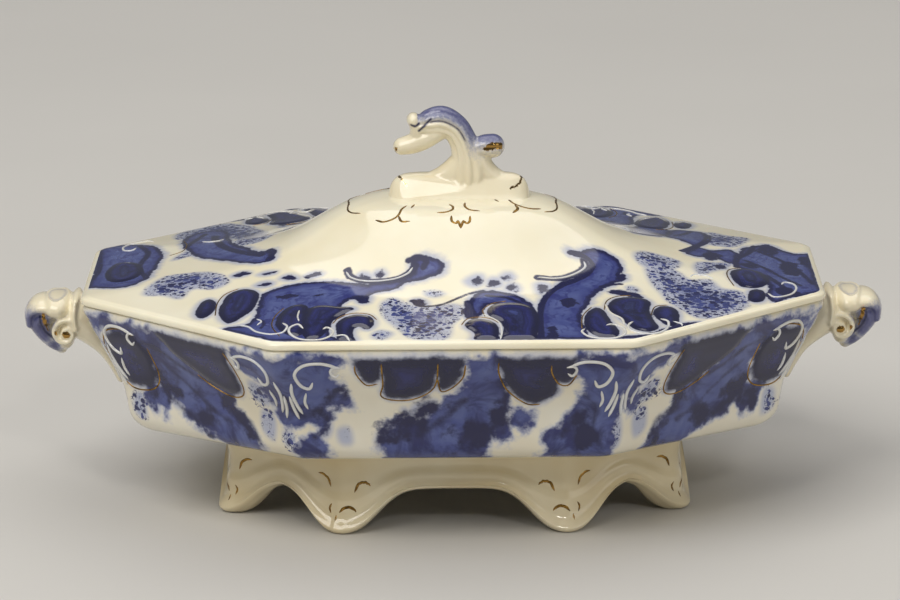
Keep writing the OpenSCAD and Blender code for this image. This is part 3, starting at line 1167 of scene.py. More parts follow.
# One layer of the lid's print: the union of the front's shapes, the same turned by half a turn, and
# the ends' shapes, ended at the plain band along the rim.
def lidLayer(x, y, kind, fromRim):
    if kind == "line":
        front = unionDistance(x, y, (), lidPrint[kind])
        back = unionDistance(-x, -y, (), lidPrint[kind])
        ends = unionDistance(x, y, (), lidEnds[kind])
    else:
        front = unionDistance(x, y, lidPrint[kind])
        back = unionDistance(-x, -y, lidPrint[kind])
        ends = unionDistance(x, y, lidEnds[kind])
    return np.minimum(np.maximum(np.maximum(front, back), ends), fromRim - lid["rimBand"])


# How far inside the rim a place lies.
def lidFromRim(x, y):
    halfLength, halfWidth, frontEdge, endEdge = lid["rim"]
    run, rise = halfLength - frontEdge, halfWidth - endEdge
    slant = (
        frontEdge * rise + halfWidth * run - np.abs(x) * rise - np.abs(y) * run
    ) / math.hypot(run, rise)
    return np.minimum(np.minimum(halfLength - np.abs(x), halfWidth - np.abs(y)), slant)


shellStep = {"outside": 0.5, "width": 3.2, "rimPlain": 1.5, "rimFade": 3.0}


# A shell swells up as a smooth step, from a little outside its outline to well inside it.
def shellSwell(depth):
    rise = np.clip((depth + shellStep["outside"]) / shellStep["width"], 0, 1)
    return rise * rise * (3 - 2 * rise)


# The lid's moulded relief, which dies out towards the rim.
def lidRelief(x, y):
    fromRim = lidFromRim(x, y)
    depth = lidLayer(x, y, "shell", fromRim)
    fade = np.clip((fromRim - shellStep["rimPlain"]) / shellStep["rimFade"], 0, 1)
    return lid["shellRelief"] * shellSwell(depth) * fade


def buildLid():
    scales = np.concatenate([np.linspace(0.03, 0.3, 12), np.linspace(0.31, 0.984, 80)])
    rows, shown = [], []
    for k in scales:
        ring = lidRing(k)
        rows.append(np.column_stack([ring, np.full(len(ring), lid["seatZ"] + lidHeight(k))]))
        shown.append(True)
    edge = smoothCurve(lid["edge"], 0.3)
    edge[:, 0] = np.maximum(edge[:, 0], 0)
    for t, z in np.vstack([edge, lid["underside"]]):
        ring = octagonRing(insetSizes(lid["rim"], t), lid["cornerRadius"], lidColumns)
        rows.append(np.column_stack([ring, np.full(len(ring), lid["seatZ"] + z)]))
        shown.append(False)
    for k in np.linspace(0.85, 0.04, 18):
        ring = lidRing(k)
        rows.append(
            np.column_stack([ring, np.full(len(ring), lid["seatZ"] + lidHeight(k) - lid["wall"])])
        )
        shown.append(False)
    count = len(lidColumns[0])
    points = np.vstack(rows)
    outside = np.repeat(np.array(shown), count)
    top = points[outside]
    points[outside, 2] += lidRelief(top[:, 0], top[:, 1])
    fromRim = lidFromRim(top[:, 0], top[:, 1])
    layers = {}
    for kind in printLayers:
        values = np.full(len(points) + 2, -farOff)
        values[:-2][outside] = lidLayer(top[:, 0], top[:, 1], kind, fromRim)
        layers[kind] = values
    crown = lid["seatZ"] + lid["domeHeight"]
    poles = [[0, 0, crown], [0, 0, crown - lid["wall"]]]
    faces = ringFaces(len(rows), count).tolist() + poleFaces(len(rows), count).tolist()
    mesh = makeMesh("lidShell", np.vstack([points, poles]), faces)
    piece = addPiece("lidShell", mesh, printedLidGlaze, "cover", layers)
    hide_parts("lid")


# A place on the lid's top with its upward direction, from the slope between neighbours 0.2 mm away.
def lidSurface(x, y):
    def height(u, v):
        return lid["seatZ"] + lidHeight(lidScaleAt(u, v)) + lidRelief(u, v)
    z = height(x, y)
    slopeX = (height(x + 0.2, y) - height(x - 0.2, y)) / 0.4
    slopeY = (height(x, y + 0.2) - height(x, y - 0.2)) / 0.4
    return np.column_stack([x, y, z]), unit(np.column_stack([-slopeX, -slopeY, np.ones_like(x)]))


# White moulded tendrils, [width, path], and gilded lines, both for the front half.
lidLines = {
    "tendril": [
        (
            1.25,
            [
                (-52.5, -88.5), (-54.6, -85.2), (-57.2, -88), (-57, -93), (-53, -97.6), (-47, -98.2),
                (-43, -95), (-42, -90.4), (-44, -87.6), (-45.6, -89.6),
            ],
        ),
        (1.1, [(-41.4, -94.6), (-37.8, -95.6), (-36, -99.4)]),
        (
            1.2,
            [
                (-75.4, -80), (-72, -82.4), (-69, -88), (-64, -91.8), (-59.6, -91), (-58.2, -86.6),
                (-60, -82.4),
            ],
        ),
        (0.9, [(-69.4, -75), (-67.6, -78), (-69, -81.4)]),
        (1.0, [(10.4, -77), (13.2, -80), (16.2, -84.6), (17, -92), (16.4, -98.8)]),
        (
            1.25,
            [
                (53.6, -88.2), (56.6, -86.4), (59.8, -89.6), (59.6, -95.4), (55, -98.8), (48, -97.6),
                (45, -93), (46, -90),
            ],
        ),
        (
            1.25,
            [
                (63.2, -83), (61.4, -86), (62.2, -91), (67, -93.4), (72, -91), (75, -86), (75.6, -80.4),
                (73, -77.6),
            ],
        ),
        (1.0, [(77.4, -79.6), (80.2, -80.6), (80.4, -82.6)]),
        (1.2, [(54, -66), (55.4, -74), (59.2, -80), (60, -85)]),
        (
            1.2,
            [
                (119.2, -31), (120.6, -27.6), (123.6, -29), (124.2, -35), (121.6, -41.6), (115.8, -45.6),
                (113.4, -42),
            ],
        ),
        (0.8, [(86, -31), (88, -28), (92, -28.4), (94.4, -31)]),
        (
            1.15,
            [(-38.4, -42.4), (-36.4, -47), (-31, -50.8), (-22, -50.8), (-16.4, -48.4), (-14.4, -45.6)],
        ),
        (1.25, [(30.4, -49.4), (36, -48.6), (41, -45.8), (45.4, -41), (47.8, -36.6), (47.4, -33.4)]),
        (0.9, [(-54.4, -71), (-54.8, -77), (-54.2, -82)]),
    ],
    "gilt": [
        (0.5, [(-60.5, -94.6), (-63.6, -84), (-63, -74), (-60, -66)]),
        (0.5, [(-42.4, -84), (-39.8, -78), (-35, -75), (-29.6, -76.2), (-26.8, -81)]),
        (0.5, [(2.8, -86.4), (4.8, -81.2), (9, -79.4), (13.8, -81.4), (16.8, -86)]),
        (0.5, [(11.2, -79), (10.6, -73), (14, -68), (19, -66)]),
        (0.5, [(45, -90), (45.6, -79), (49, -70)]),
        (0.5, [(53.4, -72), (54.6, -63), (58.4, -57.6), (63.6, -55.6)]),
        (0.5, [(-84.4, -68), (-84.2, -55), (-81.8, -46.6), (-77, -42)]),
        (0.5, [(101.6, -37), (99.8, -26), (101, -17), (105.6, -12.4)]),
        (0.5, [(69.8, -74), (71.8, -65), (76.5, -62.2)]),
    ],
    "domeGilt": [
        (0.95, [(-0.4, -25.6), (-0.2, -28.6), (1.4, -29.6), (2, -28.4), (3, -31.8)]),
        (0.95, [(3, -31.8), (4, -28.4), (5, -29.6), (6.2, -28.6), (6.4, -25.6)]),
        (0.95, [(-5.6, -23.4), (-2.6, -23.2), (-0.2, -21.6), (0.2, -18.8), (-1.2, -16)]),
        (0.95, [(4.6, -14.4), (4.6, -18.4), (6.4, -21.4), (10, -22)]),
        (
            0.95,
            [(-28, -22), (-25, -24.4), (-21.6, -24.2), (-19.6, -22.4), (-18.4, -18.4), (-16.6, -15.6)],
        ),
        (0.95, [(-19.6, -23), (-18.4, -26.6), (-15.4, -27.2)]),
        (0.9, [(-15, -18.4), (-13.8, -15)]),
        (0.9, [(15.2, -9.2), (17, -12.2)]),
        (0.95, [(20.4, -8.4), (22.4, -12.6), (25.6, -14.8), (29, -14.8), (32.4, -13)]),
        (1.15, [(22.8, -13.8), (23.8, -17), (22, -20.8)]),
        (0.7, [(-38, 3), (-38.4, -7), (-37, -11.6), (-33.6, -14.6)]),
        (0.7, [(38, 3), (38.4, -7), (37, -11.6), (33.6, -14.6)]),
    ],
}


def turned(path):
    return [(-x, -y) for x, y in path]


def buildLidLines():
    tendrils, gilt = [], []
    for width, path in lidLines["tendril"]:
        for half in (path, turned(path)):
            broad = width * lid["tendrilShare"]
            tendrils.append(raisedLine(half, broad, lid["tendrilHeight"], lidSurface))
    for width, path in lidLines["gilt"] + lidLines["domeGilt"]:
        for half in (path, turned(path)):
            gilt.append(raisedLine(half, width, lid["giltHeight"], lidSurface))
    points, faces = joinParts(tendrils)
    addPiece("lidTendrils", makeMesh("lidTendrils", points, faces), reservedGlaze, "cover")
    points, faces = joinParts(gilt)
    addPiece("lidGilding", makeMesh("lidGilding", points, faces), burnishedGold, "cover")


buildLid()
buildLidLines()


# Dish.

bowl = {
    "wall": 4.0,
    "floorZ": 36.5,
    "bottomZ": 32.5,
    "printTop": 76.2,          # the print stops under the lip
    "shellRelief": 0.5,
    "frontTaper": 0.48,        # share of the inset by which the front and back edges shorten
    "endTaper": 0.1,           # share of the inset by which the end edges lengthen
    "giltHeight": 0.15,
    "scrollHeight": 0.6,
    "scrollSqueeze": 0.82,
    # the lip, and the lists of the wall: how far the wall has come in from the rim, and its height
    "outside": [
        (1.8, 79), (1, 78.3), (0.8, 77), (1.2, 75.8), (2, 74.6), (3, 72.6), (4.4, 69.6), (6.9, 65.4),
        (10.6, 59), (13.4, 53), (15.2, 47), (16.6, 39.5), (17.8, 36.7), (20, 34.5), (23.4, 33.1),
        (28, 32.5),
    ],
    "inside": [
        (30, 36.5), (24, 37.1), (20, 39.1), (17.6, 42.5), (15.4, 48), (13.4, 53.6), (10.6, 59.6),
        (7.2, 65.6),
    ],
    "lip": [(9.2, 71), (9.02, 74), (9, 77.6), (8.9, 78.6), (8.4, 79), (5, 79)],
    "innerStep": 2.6,
    "outerStep": 0.9,
}
bowlColumns = ringColumns(8, [88, 66, 88, 116, 88, 66, 88, 116])
slantSide, endSide, frontSide = 96.35, 72.4, 127.4
sideLengths = np.array([slantSide, endSide, slantSide, frontSide] * 2)
roundLength = sideLengths.sum()
# where each side starts, counted from the middle of the front
sideStarts = lid["rim"][2] + np.concatenate([[0], np.cumsum(sideLengths)[:-1]])


# The wall's outline where it has come in by t: the end edges grow a little on the way.
def wallSizes(t):
    halfLength, halfWidth, frontEdge, endEdge = lid["rim"]
    return (halfLength - t, halfWidth - t, frontEdge - bowl["frontTaper"] * t, endEdge + bowl["endTaper"] * t)


# Distance round the rim from the middle of the front for each column: half an arc belongs to the
# edge before a corner and half to the edge after it.
def roundDistance(columns, radius):
    corners = octagonCorners(lid["rim"])
    ring = octagonRing(lid["rim"], radius, columns)
    c, onArc, share = columns
    before = np.roll(corners, 1, axis=0)
    firstHalf = onArc & (share < 0.5)
    origin = np.where(firstHalf[:, None], before[c], corners[c])
    heading = np.where(
        firstHalf[:, None], unit(corners - before)[c], unit(np.roll(corners, -1, axis=0) - corners)[c]
    )
    begin = np.where(firstHalf, sideStarts[c] - np.roll(sideLengths, 1)[c], sideStarts[c])
    return begin + ((ring - origin) * heading).sum(axis=1)


# The dish's print: each side lists places as [distance along it, height]. The front counts from
# its middle, a slant from its corner at the front, an end from its corner at the front.
dishPrint = {
    "front": {
        "wash": [
            [
                (-27, 38), (-26, 43), (-23, 47.5), (-19, 49), (-12, 48.5), (-8, 52), (-3, 58), (3, 64),
                (5, 78), (17, 78), (17.5, 68), (19.5, 58), (17.5, 51), (14, 45), (11, 40), (9, 33),
                (-10, 32), (-24, 33),
            ],
            [
                (-66, 55), (-61, 47), (-56, 48), (-50, 48.5), (-46.5, 44.5), (-43.5, 48), (-44, 54),
                (-40, 55.5), (-36, 55.5), (-38.5, 62), (-40, 70), (-38, 78), (-66, 78), (-64, 66),
            ],
            [(-54.5, 40), (-50, 43.4), (-45, 42.6), (-43.5, 37.5), (-46, 34), (-53, 34)],
            [
                (39, 33), (40, 44), (41, 52), (43.5, 60), (42, 68), (41, 78), (66, 78), (64, 66),
                (60, 60), (57.5, 48), (57, 39), (55, 33),
            ],
            [(21, 54), (24, 55), (26.6, 50), (26, 47), (22, 46), (20, 48)],
            [(14.5, 47), (18, 48.5), (20.6, 44), (17, 42)],
            [(32, 43), (35, 44), (40, 42), (40, 34), (30, 34), (33, 39)],
        ],
        "shell": [
            [(-34.5, 78), (-33.6, 70), (-30.5, 65.6), (-27, 66), (-25, 70), (-25, 78)],
            [
                (-25, 78), (-24.6, 66), (-24.6, 60.5), (-20, 58.8), (-14, 59.4), (-9, 62), (-6.6, 66),
                (-6, 78),
            ],
            [(-6, 78), (-5.8, 68), (-4.4, 62.6), (-1, 64), (2.6, 68), (3.6, 73), (3.4, 78)],
            [
                (16.5, 78), (16.4, 70), (18.4, 64), (21.5, 60), (26, 56.8), (30, 56.8), (34, 58.5),
                (36.6, 62), (37, 68), (36, 78),
            ],
            [(36, 78), (35, 70), (37, 65.6), (39.8, 65), (42.6, 69), (43, 78)],
        ],
        "leaf": [
            [
                (-17.4, 54), (-15, 52), (-14, 55), (-11, 56.6), (-7, 57.4), (-6, 55), (-9, 53),
                (-12, 50), (-15, 49),
            ],
            [(-3.4, 40), (0, 45), (5, 48), (11, 46), (9, 42), (2, 38.6)],
            [(12.6, 52), (17, 55.4), (19, 50), (16, 47.6)],
            [(44, 47), (46, 49.6), (48.6, 44), (46, 40), (44, 43)],
            [(-48, 52), (-45, 55), (-41, 58), (-38, 62), (-41, 64), (-46, 60)],
            [(-27, 42), (-24, 47), (-19, 48), (-20, 44), (-25, 40)],
            [(-47, 48), (-44.6, 50), (-44, 46), (-46, 44)],
        ],
        "spray": [
            [(-41, 46), (-37, 47), (-36, 41), (-40, 41)],
            [(52, 52), (57, 55), (60, 46), (58, 38), (53, 40)],
            [(-62, 44), (-58, 46), (-56, 41), (-60, 39)],
        ],
        "line": [
            (2.0, [(-27, 41), (-23, 46.6), (-17, 48.6), (-10, 49)]),
            (2.2, [(17, 66), (18.4, 58), (15.6, 50.4), (11.4, 42)]),
            (1.6, [(-12, 44), (-4, 50), (4, 58)]),
            (1.6, [(46, 60), (50, 54), (49, 46), (52, 38)]),
            (1.6, [(-60, 60), (-54, 52), (-48, 54)]),
        ],
        "gilt": [
            (
                0.6,
                [
                    (-25.2, 74), (-24.8, 65), (-25.4, 59.8), (-20, 58), (-13.8, 58.6), (-8.4, 61.6),
                    (-6, 66), (-5.4, 74),
                ],
            ),
            (0.6, [(-34.6, 73), (-34, 69.4), (-30.7, 64.8), (-26.6, 65.2)]),
            (0.6, [(-5.6, 67), (-4.4, 61.8), (-0.6, 63.2), (3.2, 67.6), (4.2, 73)]),
            (0.6, [(15.8, 74), (15.8, 69.6), (17.8, 63.6), (21.2, 59.4), (26, 56), (30.4, 56)]),
            (0.6, [(34.2, 73), (34.4, 69.6), (36.8, 64.8), (40.2, 64.2), (43.2, 68.6)]),
        ],
    },
    "slant": {
        "wash": [
            [
                (21, 33), (20.6, 39), (24, 44.5), (29, 47.5), (34, 49), (32, 54), (34, 59), (42, 62),
                (52, 69), (56, 78), (99, 78), (98, 70), (88, 72), (74, 70), (71, 64), (73, 56), (71, 49),
                (64, 43.5), (58, 41), (52, 40), (46, 37), (40, 33),
            ],
            [(70, 52), (74, 53), (82, 52), (84, 46), (80, 41), (77, 43), (75, 40.6), (71.6, 45)],
            [(-3, 78), (-2, 66), (3, 55), (8, 50), (9, 58), (14, 66), (20, 70), (24, 78)],
        ],
        "shell": [
            [
                (27, 78), (24.4, 70), (23.6, 61), (26, 57), (32, 56), (40, 58.4), (46, 62), (52, 66),
                (56, 70), (58, 78),
            ],
            [
                (70, 66), (72, 58), (76, 53.4), (83, 51), (91, 51.4), (95, 56), (94, 64), (89, 70),
                (80, 72.4), (73, 71),
            ],
        ],
        "leaf": [
            [(58, 52), (64, 56.4), (69, 57.8), (73, 54), (70, 48), (65, 46), (60, 48)],
            [(32, 53), (35, 55.4), (38, 53), (36, 50.6)],
            [(22, 40), (26, 45.6), (32, 47.6), (28, 43), (25, 38)],
            [(44, 44), (50, 48), (56, 46), (52, 41.6)],
            [(76, 50), (80, 49), (82, 45), (79, 42.6)],
        ],
        "spray": [
            [(9, 57), (12, 62.6), (18, 63.4), (19, 57), (13, 54)],
            [(10, 50), (16, 52), (18, 44), (12, 41)],
            [(86, 48), (92, 47), (93, 40), (87, 39)],
        ],
        "line": [
            (2.2, [(20.8, 38), (24, 44.6), (30, 47.8), (35, 48.8)]),
            (1.8, [(40, 58), (52, 62), (62, 68), (70, 70)]),
            (2.0, [(56, 42), (64, 46), (70, 50.6), (72, 56)]),
            (1.4, [(36, 44), (46, 48), (56, 56), (64, 62)]),
        ],
        "gilt": [
            (
                0.6,
                [
                    (25.6, 74), (23.4, 68), (22.8, 60), (25.6, 55.8), (32.4, 54.8), (40.8, 57.4),
                    (47, 61.2),
                ],
            ),
            (0.6, [(69, 68), (71, 57.6), (75.6, 52.2), (83, 49.8), (91.6, 50.2), (96, 56), (95, 64.6)]),
            (0.6, [(74, 71.6), (80, 73.2), (89.4, 70.8), (94.8, 65)]),
        ],
    },
    "end": {
        "wash": [
            [(10, 33), (9, 42), (15, 51), (24, 56), (36, 58), (48, 56), (57, 51), (63, 42), (62, 33)],
            [
                (-3, 78), (-2, 68), (3, 62), (8, 66), (28, 70), (44, 70), (64, 66), (69, 62), (74, 68),
                (75, 78),
            ],
        ],
        "shell": [
            [(6, 78), (5, 68), (8, 60), (14, 57), (20, 60), (23, 68), (22, 78)],
            [(66, 78), (67, 68), (64, 60), (58, 57), (52, 60), (49, 68), (50, 78)],
        ],
        "leaf": [
            [(18, 44), (23, 50), (28, 48), (26, 42)],
            [(54, 44), (49, 50), (44, 48), (46, 42)],
            [(33, 54), (36, 56), (39, 54), (36, 50)],
        ],
        "spray": [
            [(2, 50), (7, 54), (8, 46), (3, 42)],
            [(70, 50), (65, 54), (64, 46), (69, 42)],
        ],
        "line": [
            (2.0, [(10, 38), (14, 49), (24, 55), (36, 57), (48, 55), (58, 49), (62, 38)]),
            (1.5, [(18, 38), (26, 47), (36, 50), (46, 47), (54, 38)]),
        ],
        "gilt": [
            (0.6, [(4.6, 74), (3.8, 67.6), (7.2, 59.2), (14, 56), (20.8, 59.2), (24, 67)]),
            (0.6, [(67.4, 74), (68.2, 67.6), (64.8, 59.2), (58, 56), (51.2, 59.2), (48, 67)]),
        ],
    },
}
# The moulded ornament at a corner, as [distance from the corner, height].
cornerRelief = [
    (1.3, [(27, 72.4), (20, 74), (12.4, 73.2), (7.6, 69.6), (8.4, 65), (12, 63.4), (14.4, 66)]),
    (1.1, [(27.4, 69.6), (25, 68.4), (23.6, 70.6), (25.6, 72.4), (28.4, 72)]),
    (1.3, [(4.6, 65.6), (3.2, 61), (4, 56), (5.6, 52.6)]),
    (1.2, [(1.6, 60), (2, 55), (3.4, 50.6)]),
    (1.1, [(9.8, 61.4), (8, 57.6), (8.6, 54.6)]),
]


# A side's place in the strip that goes once round the dish: distance from the middle of the front
# and distance down the wall. The front's width shrinks down the wall, so it is stretched back.
def dishStrip(side, places):
    p = np.asarray(places, float)
    inward = np.interp(p[:, 1], wallLine[::-1, 1], wallLine[::-1, 0])
    down = np.interp(-p[:, 1], -wallLine[:, 1], wallDown)
    if side == "front":
        return np.column_stack([p[:, 0] * 63.7 / (63.7 - 0.48 * inward), down])
    start = 63.7 if side == "slant" else 63.7 + sideLengths[0]
    return np.column_stack([start + p[:, 0], down])


def mirrored(strip):
    return np.column_stack([-strip[:, 0], strip[:, 1]])


# All outlines or lines of one kind in the strip, for half the way round: left slant, front, right
# slant and right end.
def dishShapes(kind):
    shapes = []
    for side in ("front", "slant", "end"):
        for shape in dishPrint[side][kind]:
            width, places = shape if kind in ("line", "gilt") else (None, shape)
            strip = dishStrip(side, places)
            shapes.append((width, strip))
            if side == "slant":
                shapes.append((width, mirrored(strip)))
    return shapes


# The strip repeats after half a round, because the print is the same turned by half a turn.
def dishLayer(around, down, kind):
    result = np.full(around.shape, -farOff)
    for width, strip in dishShapes(kind):
        for lap in (-1, -0.5, 0, 0.5, 1):
            if width is None:
                result = np.maximum(result, blobDistance(around - lap * roundLength, down, strip))
            else:
                result = np.maximum(
                    result, strokeDistance(around - lap * roundLength, down, strip, width)
                )
    top = np.interp(-bowl["printTop"], -wallLine[:, 1], wallDown)
    return np.minimum(result, down - top)


wallLine = smoothCurve(bowl["outside"], bowl["outerStep"])
wallDown = np.concatenate([[0], np.cumsum(np.linalg.norm(np.diff(wallLine, axis=0), axis=1))])
bowlAround = roundDistance(bowlColumns, lid["cornerRadius"])


# One level ring of the bowl.
def bowlRow(sizes, z):
    ring = octagonRing(sizes, lid["cornerRadius"], bowlColumns)
    return np.column_stack([ring, np.full(len(ring), z)])


def buildBowl():
    count = len(bowlColumns[0])
    rows = []
    for t, z in smoothCurve(bowl["inside"], bowl["innerStep"]):
        sizes = insetSizes(wallSizes(t), bowl["wall"])
        rows.append(bowlRow(sizes, z))
    for inward, z in bowl["lip"]:
        rows.append(bowlRow(insetSizes(lid["rim"], inward), z))
    innerRows = len(rows)
    for t, z in wallLine:
        rows.append(bowlRow(wallSizes(t), z))
    points = np.vstack(rows)
    outer = innerRows * count
    around = np.tile(bowlAround, len(wallLine))
    down = np.repeat(wallDown, count)
    layers = {}
    for kind in printLayers:
        layers[kind] = np.concatenate(
            [np.full(outer, -farOff), dishLayer(around, down, kind), [-farOff, -farOff]]
        )
    lift = bowl["shellRelief"] * shellSwell(layers["shell"][outer:-2])
    grid = points[outer:].reshape(len(wallLine), count, 3)
    outward = outwardDirections(grid)
    points[outer:] += (outward * lift.reshape(len(wallLine), count, 1)).reshape(-1, 3)
    poles = [[0, 0, bowl["floorZ"]], [0, 0, bowl["bottomZ"]]]
    faces = ringFaces(len(rows), count).tolist() + poleFaces(len(rows), count).tolist()
    mesh = makeMesh("dishShell", np.vstack([points, poles]), faces)
    piece = addPiece("dishShell", mesh, printedBowlGlazeWithShade, "dish", layers)
    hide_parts("bowl")
    return points[outer:].reshape(len(wallLine), count, 3)


# The outward direction at each point of a grid of rings: across the way down and the way round.
def outwardDirections(grid):
    downWay = np.gradient(grid, axis=0)
    roundWay = np.roll(grid, -1, axis=1) - np.roll(grid, 1, axis=1)
    return unit(np.cross(downWay, roundWay))


# Reads a grid between its points, at a fractional row and a fractional column.
def readGrid(grid, row, column):
    rows, columns = grid.shape[:2]
    row = np.clip(row, 0, rows - 1.001)
    i = np.floor(row).astype(int)
    j = np.floor(column).astype(int)
    a = (row - i)[:, None]
    b = (column - j)[:, None]
    left = grid[i, j % columns] * (1 - a) + grid[i + 1, j % columns] * a
    right = grid[i, (j + 1) % columns] * (1 - a) + grid[i + 1, (j + 1) % columns] * a
    return left * (1 - b) + right * b


# The fractional column that lies at a distance round the dish.
def columnAt(around, wanted, length):
    order = np.argsort(around % length)
    places = np.concatenate([(around % length)[order], [(around % length)[order][0] + length]])
    numbers = np.concatenate([order, [order[0] + len(order)]]).astype(float)
    numbers = np.where(numbers < numbers[0], numbers + len(order), numbers)
    target = wanted % length
    target = np.where(target < places[0], target + length, target)
    return np.interp(target, places, numbers) % len(order)


def wallSurface(around, down):
    row = np.interp(down, wallDown, np.arange(len(wallDown)))
    column = columnAt(bowlAround, around, roundLength)
    return readGrid(wallGrid, row, column), unit(readGrid(wallOut, row, column))


def buildDishLines():
    gilt, relief = [], []
    for width, strip in dishShapes("gilt"):
        for lap in (0, 0.5):
            shifted = strip + [lap * roundLength, 0]
            gilt.append(raisedLine(shifted, width, bowl["giltHeight"], wallSurface))
    for start in sideStarts:
        for way in (-1, 1):
            for width, places in cornerRelief:
                p = np.asarray(places, float)
                down = np.interp(-p[:, 1], -wallLine[:, 1], wallDown)
                along = start + way * p[:, 0] * bowl["scrollSqueeze"]
                strip = np.column_stack([along, down])
                relief.append(raisedLine(strip, width, bowl["scrollHeight"], wallSurface))
    points, faces = joinParts(gilt)
    addPiece("dishGilding", makeMesh("dishGilding", points, faces), burnishedGold, "dish")
    points, faces = joinParts(relief)
    addPiece("dishScrolls", makeMesh("dishScrolls", points, faces), reservedGlaze, "dish")


wallGrid = buildBowl()
wallOut = outwardDirections(wallGrid)
buildDishLines()


# Foot.

foot = {
    "outline": (86.0, 63.0, 42.0, 34.0),
    "cornerRadius": 8.0,
    "topZ": 33.5,
    "lobeHalfWidth": 16.5,
    "slantLobe": 0.98,
    "lobePower": 2.6,
    "outerShare": 0.5,         # share of the section that is the outer face
    "giltHeight": 0.16,
    "arches": {"slant": 14.5, "end": 15.5, "front": 16.4},
    # inset at an arch, inset at a lobe, share of the way down, extra height
    "section": [
        (0, 0, 0, 0), (1.8, 1.6, 0.14, 0), (3.4, 3, 0.3, 0), (4.4, 3.6, 0.5, 0), (3.4, 2.6, 0.62, 0),
        (2.6, 2.2, 0.68, 0), (2.9, 2.5, 0.76, 0), (2.6, 1.6, 0.84, 0), (1.4, -0.3, 0.92, 0),
        (1.2, -0.7, 1, 1.6), (1.9, 0.1, 1, 0.5), (3, 1.3, 1, 0), (5, 4, 1, -0.6), (7.4, 7.4, 1, 0.2),
        (9.4, 10, 1, 2.6), (10, 10.6, 0.8, 0), (8.6, 9, 0.45, 0), (7.6, 7.6, 0, 0),
    ],
}
footColumns = ringColumns(10, [56, 46, 56, 64, 56, 46, 56, 64])


# Share of the arch's height at each column: none at a corner, rising as one less the bell
# exp(-(distance to the nearest corner / lobe)^2.6).
def footShares():
    ring = octagonRing(foot["outline"], foot["cornerRadius"], footColumns)
    away = np.linalg.norm(ring[:, None] - octagonCorners(foot["outline"])[None], axis=2).min(axis=1)
    kinds = np.array(["slant", "end", "slant", "front"] * 2)[footColumns[0]]
    height = np.array([foot["arches"][kind] for kind in kinds])
    width = foot["lobeHalfWidth"] * np.where(kinds == "slant", foot["slantLobe"], 1.0)
    return 1 - np.exp(-((away / width) ** foot["lobePower"])), height


def footGridRows():
    share, height = footShares()
    low = share * height
    section = smoothCurve(foot["section"], 0.6)
    rows = []
    for atArch, atLobe, down, extra in section:
        arch = octagonRing(insetSizes(foot["outline"], atArch), foot["cornerRadius"], footColumns)
        lobe = octagonRing(insetSizes(foot["outline"], atLobe), foot["cornerRadius"], footColumns)
        place = share[:, None] * arch + (1 - share[:, None]) * lobe
        z = np.maximum(foot["topZ"] + (low - foot["topZ"]) * down + extra, 0)
        rows.append(np.column_stack([place, z]))
    return np.array(rows)


def buildFoot():
    grid = footGridRows()
    rows, count = grid.shape[:2]
    mesh = makeMesh("footRing", grid.reshape(-1, 3), ringFaces(rows, count, closedRows=True).tolist())
    piece = addPiece("footRing", mesh, footShadedGlaze, "dish")
    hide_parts("foot")
    return grid


footGrid = buildFoot()
footOut = outwardDirections(footGrid)


# A place on the outer face of the foot at a distance round from a corner and a height: the row is
# the first whose height has come down to the wanted one.
def footSurface(around, z):
    outerRows = int(len(footGrid) * foot["outerShare"])
    column = columnAt(footAround, around, footRound)
    heights = footGrid[:outerRows, np.round(column).astype(int) % footGrid.shape[1], 2]
    above = (heights > z).sum(axis=0)
    above = np.clip(above, 1, outerRows - 1)
    pick = np.arange(len(z))
    upper, lower = heights[above - 1, pick], heights[above, pick]
    row = above - 1 + np.clip((upper - z) / np.maximum(upper - lower, 1e-6), 0, 1)
    return readGrid(footGrid, row, column), unit(readGrid(footOut, row, column))


footSteps = octagonRing(foot["outline"], foot["cornerRadius"], footColumns)
footLength = np.linalg.norm(np.roll(footSteps, -1, axis=0) - footSteps, axis=1)
footAround = np.concatenate([[0], np.cumsum(footLength)[:-1]])
footRound = footLength.sum()

# Gilded touches on a lobe, as [distance from the lobe's middle, height].
footTouches = [
    (1.05, [(-10.8, 17.4), (-8.8, 18.6), (-6.4, 18), (-5, 15)]),
    (1.05, [(4.4, 16.6), (5.6, 19.4), (8, 20.8), (10.2, 21)]),
    (1.2, [(-5.8, 8), (-3.8, 9.6), (-1.4, 9.4), (0.4, 7.6)]),
    (0.8, [(3.6, 10.6), (4.6, 9), (4, 7)]),
    (0.8, [(1.6, 6.6), (1.8, 4.6)]),
]


def buildFootGilding():
    parts = []
    middles = footAround[(footColumns[1]) & (np.abs(footColumns[2] - 0.5) < 0.01)]
    for i, middle in enumerate(middles):
        for width, places in footTouches:
            p = np.asarray(places, float)
            way = 1 if i % 2 == 0 else -1
            strip = np.column_stack([middle + way * p[:, 0], p[:, 1]])
            parts.append(raisedLine(strip, width, foot["giltHeight"], footSurface))
    points, faces = joinParts(parts)
    addPiece("footGilding", makeMesh("footGilding", points, faces), burnishedGold, "dish")


buildFootGilding()


# Scrolls: handles and finial.

capRings = 7


